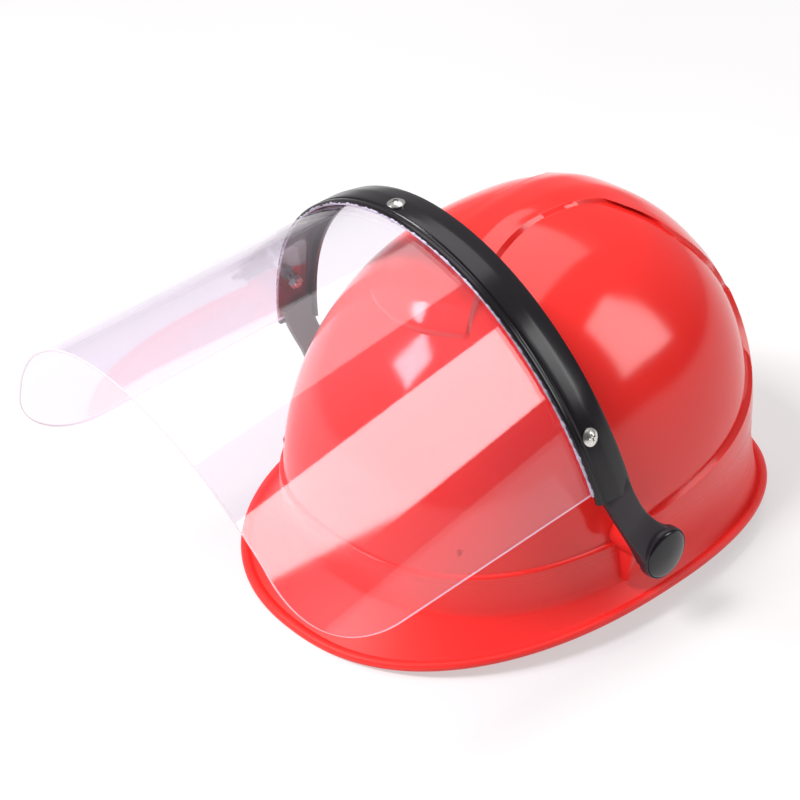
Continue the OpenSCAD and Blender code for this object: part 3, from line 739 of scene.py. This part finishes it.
# %% Heights of the raised parts
def raised_height(points):
    """How far each grid point stands out from the plain dome."""
    rows = np.arange(half_rows + 1)[:, None]
    lines = np.arange(meridians + 1)[None, :]
    on_crest = (rows >= rows_side) * (lines > lip_at)
    from_break = (lines - lip_at - 8) / 26
    plate = np.where(lines <= lip_at + 8, 3.4 + 2.8 * np.clip((lines - lip_at - 1) / 7, 0, 1),
                     6.2 - 3.2 * ease(from_break)) * mm
    corner = ease((points[..., 0] - 8 * mm) / (26 * mm))
    middle = ease(1.4 * (1 - np.abs(points[..., 0]) / crest_half_width(points[..., 1])))
    crest = plate - 0.54 * corner * (plate - crest_h) - 1.2 * mm * (1 - middle)
    behind = ease((lines - step_at) / 14)
    crest = crest + (step_h + 0.6 * mm - crest) * behind
    fade = ease(np.linalg.norm(points - points[0, 0], axis=-1) / (16 * mm) - 0.5)
    panel = step_h * fade * (lines > step_at)
    return np.where(on_crest > 0, crest, panel)


def push_out(points, height):
    """Moves points away from the middle of the head."""
    core = np.array((0, widest_y + 10 * mm, band_z))
    away = points - core
    away /= np.linalg.norm(away, axis=-1, keepdims=True)
    return points + away * height[..., None]


half_skin = push_out(bare, raised_height(bare))
half_skin[:, [0, -1], 2] = band_z
skin = np.concatenate([half_skin, (half_skin * (-1, 1, 1))[-2::-1]])
print("highest point of the shell:", round(float(skin[..., 2].max()) / mm, 1), "mm")


# %% Dome of the shell
def sphere_to_dome(name, grid):
    """A sphere with its poles on the hub axis, cut at the hat-band line and laid on a grid."""
    rows, lines = grid.shape[0] - 1, grid.shape[1] - 1
    piece = new_primitive(name, bpy.ops.mesh.primitive_uv_sphere_add, segments=2 * lines,
                          ring_count=rows, radius=1, rotation=(0, math.pi / 2, 0))
    bake_place(piece)
    edit(piece)
    bpy.ops.mesh.bisect(plane_co=(0, 0, -0.0001), plane_no=(0, 0, 1), clear_inner=True)
    bpy.ops.mesh.select_all(action="SELECT")
    bpy.ops.mesh.remove_doubles(threshold=0.0006)
    bpy.ops.object.mode_set(mode="OBJECT")
    unit = get_points(piece)
    row = np.rint(np.arccos(np.clip(unit[:, 0], -1, 1)) / math.pi * rows).astype(int)
    line = np.rint(np.arctan2(np.clip(unit[:, 2], 0, None), -unit[:, 1]) / math.pi * lines).astype(int)
    set_points(piece, grid[row, line])
    order = piece.data.attributes.new("order", "INT", "POINT")
    order.data.foreach_set("value", np.where(line == 0, row, (2 * rows - row) % (2 * rows)))
    return piece


shell = sphere_to_dome("helmet_shell", skin)
print("dome:", len(shell.data.vertices), "vertices")

# %% [markdown]
# Below the hat-band line the moulding goes on as one skin. The open edge of the dome is extruded
# downwards ring by ring: a small ledge, an almost upright wall, a crease, the sloping brim, its
# rounded bead, then back up on the inside. The inner dome is a second, coarser sphere. It has as
# many points on its edge as the skirt, so the two close without a seam.

# %% Skirt, brim and inside of the shell
crease_z = 25 * mm
brim_n = 2.3
brim_rise = 11 * mm
wall_step = 2 * mm
foot_cut = 0.6 * mm
edge_points = np.concatenate([bare[:, 0], (bare[:, 0] * (-1, 1, 1))[-2::-1],
                              (bare[:, -1] * (-1, 1, 1))[1:], bare[-2:0:-1, -1]])
edge_raise = np.concatenate([raised_height(bare)[:, 0], raised_height(bare)[-2::-1, 0],
                             raised_height(bare)[1:, -1], raised_height(bare)[-2:0:-1, -1]])


def signed_power(value, power):
    """A power that keeps the sign of its value."""
    return np.sign(value) * np.abs(value) ** power


edge_y = edge_points[:, 1] - widest_y
edge_turn = np.arctan2(signed_power(edge_y / np.where(edge_y < 0, shell_front, shell_rear), plan_n / 2),
                       signed_power(edge_points[:, 0] / shell_half_w, plan_n / 2))


def egg(half, front, rear, n, turn):
    """Points on an egg-shaped outline."""
    return (half * signed_power(np.cos(turn), 2 / n),
            np.where(np.sin(turn) < 0, front, rear) * signed_power(np.sin(turn), 2 / n))


def wall_ring(grow, z, bend=0.0):
    """A ring of the upright wall; bend lets it dip at the sides and rise towards the back."""
    x, y = egg(shell_half_w + grow, shell_front + grow, shell_rear + grow, plan_n, edge_turn)
    dip = (2.5 * y / shell_rear - 3 * (x / shell_half_w) ** 2) * mm
    return np.stack([x, y + widest_y, z + bend * dip], -1)


def brim_ring(inset, z):
    """A ring of the brim, which rises towards the sides."""
    x, y = egg(brim_half_w - inset, brim_half_l - inset, brim_half_l - inset, brim_n, edge_turn)
    return np.stack([x, y, np.clip(z - foot_cut + brim_rise * (x / brim_half_w) ** 2, 0, None)], -1)


def along(first, last, shares, sag=0.0):
    """Rings between two rings, with a slight sag in the middle."""
    out = []
    for share in shares:
        ring = first * (1 - share) + last * share
        ring[:, 2] -= sag * 4 * share * (1 - share)
        out.append(ring)
    return out


def skirt_rings():
    """The rings from the hat-band line down over the brim and back up on the inside."""
    crease = wall_ring(wall_step + 1.5 * mm, crease_z, 1)
    brim_top = brim_ring(5.2 * mm, 2.9 * mm)
    bead = [(4.5, 3.15), (3.9, 3.6), (3.3, 3.95), (2.4, 4.1), (1.5, 3.95), (0.7, 3.4), (0.2, 2.6), (0, 1.7),
            (0.1, 0.8), (0.5, 0.25), (1.2, 0), (2.4, 0), (3.1, 0.3), (3.6, 0.9)]
    inner_foot = brim_ring(4.4 * mm, 1.3 * mm)
    inner_crease = wall_ring(1.0 * mm, crease_z - 2.5 * mm, 1)
    rings = [wall_ring(edge_raise, band_z - 0.5 * mm),
             wall_ring(np.maximum(edge_raise, 0.15 * mm), band_z - 0.95 * mm),
             wall_ring(np.maximum(edge_raise, wall_step - 0.5 * mm), band_z - 1.35 * mm),
             wall_ring(np.maximum(edge_raise, wall_step - 0.1 * mm), band_z - 1.9 * mm),
             wall_ring(np.maximum(edge_raise, wall_step), band_z - 2.9 * mm),
             wall_ring(np.maximum(edge_raise, wall_step + 0.6 * mm), band_z - 9 * mm, 0.4),
             wall_ring(wall_step + 1.2 * mm, crease_z + 3.2 * mm, 0.95),
             wall_ring(wall_step + 1.45 * mm, crease_z + 1.1 * mm, 1),
             wall_ring(wall_step + 1.75 * mm, crease_z + 0.1 * mm, 1)]
    rings += along(crease, brim_top, (0.06, 0.12, 0.3, 0.5, 0.7, 0.88, 0.96, 1.0), 0.8 * mm)
    rings += [brim_ring(inset * mm, z * mm) for inset, z in bead]
    rings += [inner_foot]
    rings += along(inner_foot, inner_crease, (0.1, 0.35, 0.65, 0.92, 1.0), 0.8 * mm)
    rings += [wall_ring(-0.2 * mm, band_z - 5 * mm, 0.4), wall_ring(-wall + 0.3 * mm, band_z - 1.5 * mm)]
    return rings


def extrude_ring(piece, rings):
    """Extrudes the open edge of a piece through a list of rings."""
    only(piece)
    bpy.ops.object.mode_set(mode="EDIT")
    bpy.ops.mesh.select_mode(type="VERT")
    select_rim()
    for ring in rings:
        bpy.ops.mesh.extrude_edges_move()
        shape = bmesh.from_edit_mesh(piece.data)
        order = shape.verts.layers.int["order"]
        for vertex in shape.verts:
            if vertex.select:
                vertex.co = ring[vertex[order]]
    bmesh.update_edit_mesh(piece.data)
    bpy.ops.object.mode_set(mode="OBJECT")


inner_lines = 50
skip = meridians // inner_lines
inner_half = on_dome(row_angle[:, ::skip], meridian[:, ::skip], -wall)
inner_half[:, [0, -1], 2] = band_z
inner_grid = np.concatenate([inner_half, (inner_half * (-1, 1, 1))[-2::-1]])
inner_edge = np.concatenate([inner_grid[:, 0], inner_grid[-2:0:-1, -1]])
extrude_ring(shell, skirt_rings() + [inner_edge])
inner_dome = sphere_to_dome("inner_dome", inner_grid)
shell = join([shell, inner_dome], "helmet_shell")
outward(shell)
smooth(shell, 50)
open_edges = faces_at_edges(shell).count(1)
print("shell:", len(shell.data.polygons), "faces, open edges:", open_edges)

# %% [markdown]
# The hubs stand on round bosses with a rib below. Inside, four pockets take the clips of the
# harness, and two lugs take the rivets of the chin strap. Each is a small bevelled solid that is
# moulded into the skin, so they join the shell's mesh.

# %% Bosses, ribs, pockets and lugs
def block(name, low, high, rounding=0.6 * mm):
    """A box between two corners, with rounded edges."""
    piece = new_primitive(name, bpy.ops.mesh.primitive_cube_add, size=1)
    points = get_points(piece)
    low, high = np.array(low), np.array(high)
    set_points(piece, low + (points + 0.5) * (high - low))
    return bevel(piece, rounding)


def disc(name, x0, x1, y, z, radius, rounding=0.5 * mm):
    """A round plate along X with a rounded rim."""
    piece = new_primitive(name, bpy.ops.mesh.primitive_cylinder_add, vertices=64, radius=radius,
                          depth=abs(x1 - x0), rotation=(0, math.pi / 2, 0), location=((x0 + x1) / 2, y, z))
    bake_place(piece)
    return bevel(piece, rounding, 3)


boss_x = 112 * mm
boss_r = 8.6 * mm
rib_inner, rib_outer = shell_half_w - 1 * mm, boss_x - 1.5 * mm
rib_front, rib_back = pivot.y - 5 * mm, pivot.y - 1.6 * mm
rib_bottom, rib_top = crease_z - 4 * mm, pivot.z - 4 * mm
rib_taper = 0.52
lug_y, lug_z, lug_r = 25 * mm, 32 * mm, 6 * mm
details = []
for side in (1, -1):
    details.append(disc("boss", side * (shell_half_w - wall), side * boss_x, pivot.y, pivot.z, boss_r))
    rib = block("rib", (rib_inner, rib_front, rib_bottom), (rib_outer, rib_back, rib_top))
    points = get_points(rib)
    low_share = np.clip((rib_top - 2 * mm - points[:, 2]) / (22 * mm), 0, 1)
    points[:, 0] -= (points[:, 0] - rib_inner) * rib_taper * low_share
    points[:, 0] *= side
    set_points(rib, points)
    details.append(rib)
    details.append(disc("lug", side * (shell_half_w - wall - 1.5 * mm), side * (shell_half_w + 0.8 * mm),
                        lug_y, lug_z, lug_r))

inner_half_w, inner_front, inner_rear = shell_half_w - wall, shell_front - wall, shell_rear - wall
pocket_bottom, pocket_top = 42 * mm, 56 * mm


def clip_frame(degrees):
    """Where a harness clip meets the inner wall, and the way outwards there."""
    turn = np.radians(degrees)
    x, y = egg(inner_half_w, inner_front, inner_rear, plan_n, turn)
    length = inner_front if turn < 0 or turn > math.pi else inner_rear
    way = np.array((signed_power(np.cos(turn), 2 - 2 / plan_n) / inner_half_w,
                    signed_power(np.sin(turn), 2 - 2 / plan_n) / length))
    return np.array((float(x), float(y) + widest_y)), way / np.linalg.norm(way)


def pocket_parts(degrees):
    """The four walls of a pocket, open below and above, that the clip's key slides into."""
    root, out = clip_frame(degrees)
    aside = np.array((-out[1], out[0]))
    # each wall from and to, outwards and aside, in millimetres
    walls = [(-2.75, 0.8, -12, 12), (-8.0, -6.3, -12, 12), (-8.0, 0.8, -12, -9.3), (-8.0, 0.8, 9.3, 12)]
    parts = []
    for x0, x1, y0, y1 in walls:
        part = block("pocket", (x0 * mm, y0 * mm, pocket_bottom), (x1 * mm, y1 * mm, pocket_top), 0.5 * mm)
        points = get_points(part)
        flat = root + points[:, :1] * out + points[:, 1:2] * aside
        set_points(part, np.column_stack([flat, points[:, 2]]))
        parts.append(part)
    return parts


for degrees in (-46, 226, 46, 134):
    details += pocket_parts(degrees)
shell = join([shell] + details, "helmet_shell")
smooth(shell, 50)
finish_piece(shell, "helmet", shell_red, ("shell",))

# %% [markdown]
# ## The arch
# The arch is a black moulding that lies on a half ellipse over the crown. Its section is drawn
# once, as places across the band and depths below its outer face, and carried round the ellipse.
# The rear third slopes away, a flat middle catches the light, and a groove and a rib run along the
# front edge. A flange reaches inwards at the back, behind the visor's sheet.

# %% Frame of the arch
arch_y = pivot.y - 6.3 * mm
arch_tilt = math.radians(93.5)
arch_skew = math.tan(math.radians(5.5))
arch_half_w = shell_half_w + 22 * mm
arch_height = dome_h + 27.1 * mm


def in_arch(across, up, forward):
    """A place in the arch's own frame: across the head, up along the arch's plane, and forwards."""
    cos, sin = math.cos(arch_tilt), math.sin(arch_tilt)
    across, up, forward = np.broadcast_arrays(across, up, forward)
    return np.stack([across, arch_y + up * cos - forward * sin, pivot.z + up * sin + forward * cos], -1)


def arch_point(turn, depth, forward):
    """A point below the arch's outer face, at a turn round it and a way forwards from its rear edge."""
    up = (arch_height - depth) * np.sin(turn)
    return in_arch((arch_half_w - depth) * np.cos(turn), up, forward + up * arch_skew)


def turn_at(up, depth=0.0):
    """The turn at which a line below the outer face reaches a height up the arch's plane."""
    return math.asin(up / (arch_height - depth))


# %% Band of the arch
band_section = [(0, 2.2), (0.25, 1.75), (0.8, 1.5), (3.0, 1.05), (6.0, 0.48), (8.2, 0.13), (9.2, 0.02),
                (10.4, 0), (14.5, 0), (17.0, 0.02), (17.5, 0.1), (17.8, 0.5), (18.2, 0.85), (18.9, 0.85),
                (19.3, 0.5), (19.6, 0.12), (20.2, 0.02), (21.2, 0.02), (21.7, 0.2), (22, 0.7), (22, 2.3),
                (21.7, 2.6), (2.7, 2.6), (2.4, 2.9), (2.4, 6.7), (2.1, 7), (0.3, 7), (0, 6.7)]
band_foot = 42.3 * mm
band_w = 22 * mm


def band_rings(stations=150):
    """The band's section carried round the arch; its ends are cut at a slant, lower at the back."""
    forward = np.array([s for s, _ in band_section]) * mm
    depth = np.array([d for _, d in band_section]) * mm
    foot_turn = np.arcsin((band_foot - 0.13 * (band_w - forward)) / arch_height)
    return [arch_point(foot_turn + (math.pi - 2 * foot_turn) * share, depth, forward)
            for share in np.linspace(0, 1, stations)]


band = loft("band", band_rings())
smooth(band, 32)
band.data.materials.append(frame_black)
print("band:", len(band.data.polygons), "faces")

# %% [markdown]
# Each arm runs from the band down to the hub. Its centre line is a curve with a waist, and it
# thickens outwards as it nears the hub. The arm is drawn as a row of rounded rectangles.

# %% Arms and hubs
arm_path = np.array([(pivot.y - 25 * mm, pivot.z + 51 * mm), (pivot.y - 19 * mm, pivot.z + 24 * mm),
                     (pivot.y, pivot.z)])
hub_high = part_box("visor_frame")[1].x
hub_low = hub_high - 14 * mm
hub_r = 13 * mm
arm_waist, band_flare, hub_flare = 7.7 * mm, 2.1 * mm, 4.8 * mm
arm_rounding = 1.3 * mm


def arm_place(share):
    """A place on the arm's centre line seen from the side, and the way along it."""
    p, q, r = arm_path
    place = p * (1 - share) ** 2 + q * 2 * share * (1 - share) + r * share ** 2
    way = (q - p) * (1 - share) + (r - q) * share
    return place, way / np.linalg.norm(way)


def arm_half(share):
    """Half the arm's width, least at the waist half-way down."""
    if share < 0.5:
        return arm_waist + band_flare * (1 - share / 0.5) ** 2
    return arm_waist + hub_flare * ((share - 0.5) / 0.5) ** 2.2


def on_arch_side(y, z, depth):
    """The X of the arch's side at a place seen from the side."""
    up = (y - arch_y) * math.cos(arch_tilt) + (z - pivot.z) * math.sin(arch_tilt)
    return (arch_half_w - depth) * np.sqrt(np.clip(1 - (up / (arch_height - depth)) ** 2, 0, 1))


def arm_rings():
    """Rounded rectangles down the arm: tucked under the band first, swelling outwards at the hub."""
    corner = [(math.cos(a), math.sin(a)) for a in np.radians(np.linspace(0, 90, 5))]
    rings = []
    for share in np.linspace(0, 0.93, 34):
        (y, z), (way_y, way_z) = arm_place(share)
        half = arm_half(share)
        swell = float(ease(np.array((share - 0.55) / 0.42)))
        tuck = 1 - float(ease(np.array((share - 0.10) / 0.14)))
        top, bottom = (0.25 - 4.65 * swell + 1.35 * tuck) * mm, (5 - 0.9 * swell) * mm
        ring = []
        for side, low, fan in ((1, False, 0), (-1, False, 1), (-1, True, 0), (1, True, 1)):
            for i in range(5):
                c, s = corner[i] if not fan else corner[4 - i]
                across = side * (half - arm_rounding + arm_rounding * c)
                depth = bottom - arm_rounding * (1 - s) if low else top + arm_rounding * (1 - s)
                py, pz = y - way_z * across, z + way_y * across
                ring.append((float(on_arch_side(py, pz, 0)) - depth, py, pz))
        rings.append(ring)
    return rings


def turned(name, place, profile, closed=False, points=72):
    """A piece turned on a lathe along X: the profile lists distances along X and radii."""
    y, z = place
    angles = np.linspace(0, 2 * math.pi, points, endpoint=False)
    rings = [np.stack([np.full(points, x), y + r * np.cos(angles), z + r * np.sin(angles)], -1)
             for x, r in profile]
    return loft(name, rings, closed)


def hub_profile():
    """Distances along X and radii round the hub: its neck, its wide rim and the seat of the cap."""
    x = hub_low
    seat, floor_x = x + 6 * mm, x + 11 * mm
    return [(x, 3.3 * mm), (x, 8.2 * mm), (x + 0.3 * mm, 8.6 * mm), (x + 4.2 * mm, 8.9 * mm),
            (x + 5.6 * mm, 10.2 * mm), (x + 6.8 * mm, 12.1 * mm), (x + 7.6 * mm, 12.8 * mm),
            (x + 8.4 * mm, hub_r), (hub_high - 2.6 * mm, hub_r), (hub_high - 1.9 * mm, 12.9 * mm),
            (hub_high - 1.5 * mm, 12.7 * mm), (hub_high - 1.4 * mm, 12.5 * mm),
            (hub_high - 1.5 * mm, 12.3 * mm), (floor_x, 12.2 * mm),
            (floor_x, 8.5 * mm), (seat, 8.5 * mm), (seat, 3.3 * mm)]


arm = loft("arm", arm_rings())
hub = turned("hub", (pivot.y, pivot.z), hub_profile(), closed=True)
arm_left = join([arm, hub], "arm_left")
smooth(arm_left, 40)
arm_left.data.materials.append(arm_grey)
arm_right = mirrored(arm_left, "arm_right")
visor_arch = join([band, arm_left, arm_right], "visor_arch")
finish_piece(visor_arch, "visor_unit", None, ("visor_frame",))

# %% [markdown]
# A domed cap snaps into each hub over the head of the pivot bolt and almost fills its face.

# %% Caps
for side in ("left", "right"):
    cap_low, cap_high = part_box(f"pivot_cap_{side}")
    profile = [(0.05, 11.7), (0.3, 12.05), (1.2, 12.15), (1.7, 12.0), (2.1, 11.6), (2.5, 10.8), (2.95, 9.5),
               (3.4, 7.7), (3.8, 5.4), (4.1, 2.9), (4.25, 0.8)]
    inner, sign = (cap_low.x, 1) if side == "left" else (cap_high.x, -1)
    cap = turned(f"cap_{side}", (pivot.y, pivot.z), [(inner + sign * x * mm, r * mm) for x, r in profile])
    smooth(cap, 50)
    finish_piece(cap, "visor_unit", cap_black, (f"pivot_cap_{side}",))

# %% [markdown]
# ## The visor
# A flat sheet of polycarbonate, 1.5 mm thick, is bent round the inside of the arch. It is drawn as
# a closed strip round its own section, so both faces and the polished edges are real. The corners
# are rounded by sliding each strip's front end along an arc.

# %% Sheet of the visor
visor_foot = 46.6 * mm
visor_back = 3.2 * mm
visor_front = 177 * mm
visor_corner = 48 * mm
visor_outer = 2.7 * mm
visor_thick = 1.5 * mm
visor_rim_r = 0.35 * mm
visor_steps = 44


def visor_ups():
    """Heights up the sheet's rounded corner, and how far its front end is cut back at each."""
    corner = np.radians(np.linspace(0, 90, 26))
    ups = visor_foot + visor_corner * (1 - np.cos(corner))
    return ups, visor_corner * (np.sin(corner) - 1)


def visor_rings():
    """Closed strips from the band to the front end and back, carried round the arch."""
    ups, cut = visor_ups()
    first = np.array([math.asin(min(1, up / (arch_height - visor_outer))) for up in ups])
    middle = np.linspace(first[-1], math.pi - first[-1], 120)[1:-1]
    turns = np.concatenate([first, middle, (math.pi - first)[::-1]])
    front_at_corner = visor_front + (visor_foot + visor_corner) * arch_skew
    rings = []
    for index, turn in enumerate(turns):
        corner = min(index, len(turns) - 1 - index)
        up = (arch_height - visor_outer) * math.sin(turn)
        if corner < len(cut):
            end = front_at_corner + cut[corner] - up * arch_skew
        else:
            end = visor_front
        forward = visor_back + (end - visor_back) * np.linspace(0, 1, visor_steps)
        edge = [arch_point(turn, visor_outer + visor_rim_r, forward[-1]),
                arch_point(turn, visor_outer + visor_thick - visor_rim_r, forward[-1])]
        forward[-1] -= visor_rim_r
        outer = arch_point(turn, visor_outer, forward)
        inner = arch_point(turn, visor_outer + visor_thick, forward[::-1])
        rings.append(np.concatenate([outer, edge, inner]))
    return rings


visor = loft("visor_sheet", visor_rings())
smooth(visor, 40)
visor.data.materials.append(visor_clear)
visor.data.materials.append(visor_rim)
places = remembered(visor, "order")
for face in visor.data.polygons:
    on_ring = places[list(face.vertices)]
    at_front = on_ring.min() >= visor_steps - 1 and on_ring.max() <= visor_steps + 2
    if len(face.vertices) > 4 or at_front:
        face.material_index = 1
finish_piece(visor, "visor_unit", None, ("visor",))

# %% [markdown]
# A thin bead of sealant holds the sheet to the band's front rib. It was laid by hand: its width
# wanders, and in places it is smeared over the rib. A sum of waves gives it its unevenness.

# %% Sealant along the band
bead_foot = 47 * mm


def bead_rings(stations=420, points=8):
    """A round bead along the band's front edge, of uneven thickness."""
    rings = []
    start = turn_at(bead_foot)
    for share in np.linspace(0, 1, stations):
        turn = start + (math.pi - 2 * start) * share
        wander = (math.sin(47 * turn) + math.sin(113 * turn + 1) + math.sin(211 * turn + 2.1)
                  + 0.7 * math.sin(397 * turn + 0.4)) / 3.7
        thick = (0.45 + 0.42 * max(wander, -0.75) + 0.25 * math.exp(-((turn - start) / 0.3) ** 2)) * mm
        angles = np.linspace(0, 2 * math.pi, points, endpoint=False)
        rings.append(arch_point(turn, 1.9 * mm - 0.35 * mm * wander + thick * 1.3 * np.cos(angles),
                                22.05 * mm + thick * np.sin(angles)))
    return rings


sealant = loft("visor_sealant", bead_rings())
smooth(sealant, 60)
finish_piece(sealant, "visor_unit", sealant_white)

# %% [markdown]
# ## Parts that keep their CAD shape
# Screws, nuts, bolts, washers, rivets and the small plastic parts are already right as drawn, so
# they only get a finish.

# %% Finishes on CAD nodes
cad_finishes = {
    screw_steel: ("visor_screws", "chin_rivet_left", "chin_rivet_right"),
    nut_steel: ("visor_nuts", "pivot_bolt_left", "pivot_bolt_right", "pivot_washer_left",
                "pivot_washer_right", "pivot_nut_left", "pivot_nut_right"),
    band_plastic: ("headband", "nape_strap_left", "nape_strap_right"),
    ratchet_plastic: ("ratchet_housing", "ratchet_backplate", "ratchet_knob"),
    pinion_plastic: ("ratchet_pinion",),
    clip_plastic: ("clip_front_left", "clip_front_right", "clip_rear_left", "clip_rear_right"),
    buckle_plastic: ("buckle_socket", "buckle_plug", "strap_slider"),
}
for finish, names in cad_finishes.items():
    for name in names:
        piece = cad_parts[name]
        piece.data.materials.clear()
        piece.data.materials.append(finish)
        smooth(piece, 35)
print("finished CAD nodes:", sum(len(n) for n in cad_finishes.values()))

# %% [markdown]
# ## Webbing and pads
# Crown and chin straps are woven tape. Each is swept flat along its line with slightly rounded
# edges, and carries a weave attribute: the distance along the tape and across it. The weave texture
# reads it, so the ribs follow the tape.

# %% Webbing
def tape(name, line, across, width, thick):
    """A flat tape along a line. across gives the tape's width direction at each point."""
    line, across = np.array(line), np.array(across)
    ahead = np.gradient(line, axis=0)
    ahead /= np.linalg.norm(ahead, axis=1, keepdims=True)
    out = np.cross(ahead, across)
    out /= np.linalg.norm(out, axis=1, keepdims=True)
    places = np.linspace(-1, 1, 9)
    lift = thick / 2 * np.sqrt(np.clip(1 - np.abs(places) ** 10, 0.05, 1))
    ring = np.concatenate([places, places[::-1]]) * width / 2
    side = np.concatenate([lift, -lift[::-1]])
    rings = line[:, None] + ring[None, :, None] * across[:, None] + side[None, :, None] * out[:, None]
    piece = loft(name, list(rings))
    lengths = np.concatenate([[0], np.cumsum(np.linalg.norm(np.diff(line, axis=0), axis=1))])
    station, order = remembered(piece, "station"), remembered(piece, "order")
    weave = piece.data.attributes.new("weave", "FLOAT_VECTOR", "POINT")
    weave.data.foreach_set("vector", np.stack([lengths[station], ring[order], 0 * lengths[station]],
                                              -1).astype(np.float32).ravel())
    smooth(piece, 50)
    return piece


def crown_line(ends, low_z, top_z, thick):
    """Half of a rounded arch between two clips, in the upright plane through both."""
    first, last = Vector(ends[0]), Vector(ends[1])
    middle, way = (first + last) / 2, (last - first).normalized()
    half = (last - first).length / 2 - thick / 2
    turns = np.linspace(0, math.pi, 61)
    along_way = half * signed_power(np.cos(turns), 2 / 2.3)
    rise = (top_z - low_z - thick / 2) * signed_power(np.sin(turns), 2 / 2.3)
    return [(middle.x + way.x * a, middle.y + way.y * a, low_z + h) for a, h in zip(along_way, rise)], way


crown_thick, crown_wide = 1.4 * mm, 20 * mm
for level, slope in (("lower", 1), ("upper", -1)):
    low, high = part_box(f"crown_strap_{level}")
    span_x, span_y = high.x - low.x, high.y - low.y
    trim = 0.0
    # the tape crosses its box at a slant and has square ends, so its reach is found by trial
    for _ in range(30):
        turn = math.atan2(span_y - 2 * trim, span_x)
        way_x, way_y = math.cos(turn), math.sin(turn)
        reach_x = (span_x - crown_wide * way_y) / 2
        reach_y = (span_y - crown_wide * way_x) / 2
        trim = crown_wide * math.cos(math.atan2(reach_y, reach_x)) / 2
    middle = (low + high) / 2
    ends = [(middle.x + s * reach_x, middle.y - slope * s * reach_y, 0) for s in (1, -1)]
    line, way = crown_line(ends, low.z, high.z, crown_thick)
    across = np.tile((-way.y, way.x, 0), (len(line), 1))
    strap = tape(f"crown_tape_{level}", line, across, crown_wide, crown_thick)
    finish_piece(strap, "helmet", crown_webbing, (f"crown_strap_{level}",))

# %% Chin strap
chin_z, chin_wide, chin_thick = 3 * mm, 15 * mm, 1.2 * mm
chin_half, chin_long = 90.5 * mm, 113 * mm


def chin_line(first, last, count):
    """The level part of the strap, on an egg-shaped line under the brim."""
    turns = np.radians(np.linspace(first, last, count))
    long = chin_long - chin_thick / 2
    x, y = egg(chin_half - chin_thick / 2, long, long, plan_n, turns)
    return np.stack([x, y + widest_y, np.full(count, chin_z + chin_wide / 2)], -1)


def hanger(side):
    """The upright end of the tape on the shell's lug."""
    x = side * (chin_half - chin_thick / 2)
    line = [(x, lug_y, z * mm) for z in np.linspace(3, 41, 24)]
    return tape("hanger", line, np.tile((0, 1.0, 0), (len(line), 1)), 16 * mm, chin_thick)


for side, sign, first, last, count in (("left", 1, 8, 27, 16), ("right", -1, 43.4, 172, 90)):
    line = chin_line(first, last, count)
    strap = tape("chin", line, np.tile((0, 0, 1.0), (count, 1)), chin_wide, chin_thick)
    strap = join([strap, hanger(sign)], f"chin_tape_{side}")
    finish_piece(strap, "helmet", chin_webbing, (f"chin_strap_{side}",))

# %% [markdown]
# The brow pad is foam with a brushed knit cover. It follows the inside of the headband, and its face
# swells between rounded edges, with a dip along each of two rows of stitches. The nape pad is a
# small cushion in front of the ratchet, against the head.

# %% Pads
pad_low, pad_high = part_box("sweatband")
headband_size = (80.5 * mm, 99 * mm, 93 * mm)
headband_n = 2.2
pad_back, pad_swell, stitch_dip = 2.3 * mm, 2.9 * mm, 0.35 * mm


def inside_headband(turn, inset, share):
    """A point inside the headband's outline, at a share of the pad's height."""
    x, y = egg(*(size - inset for size in headband_size), headband_n, turn)
    return float(x), float(y) + widest_y, pad_low.z + (pad_high.z - pad_low.z) * share


def brow_rings():
    """Upright sections of the pad: up its swollen face with two stitched dips, down its flat back."""
    rings = []
    for turn in np.radians(np.linspace(-145, -35, 80)):
        ring = []
        for share in np.linspace(0, 1, 17):
            from_middle = abs(2 * share - 1)
            swell = (1 - from_middle ** 6) ** 0.5
            dip = stitch_dip * math.exp(-((from_middle - 0.72) / 0.07) ** 2)
            ring.append(inside_headband(turn, pad_back + 0.1 * mm + pad_swell * swell - dip, share))
        for share in np.linspace(0.97, 0.03, 8):
            ring.append(inside_headband(turn, pad_back, share))
        rings.append(ring)
    return rings


brow_pad = loft("brow_pad", brow_rings())
smooth(brow_pad, 60)
finish_piece(brow_pad, "helmet", sweat_foam, ("sweatband",))

nape_pad = block("nape_cushion", *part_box("nape_pad"), 1.2 * mm)
only(nape_pad)
softening = nape_pad.modifiers.new("soft", "SUBSURF")
softening.levels = 2
bpy.ops.object.modifier_apply(modifier="soft")
smooth(nape_pad, 60)
finish_piece(nape_pad, "helmet", sweat_foam, ("nape_pad",))
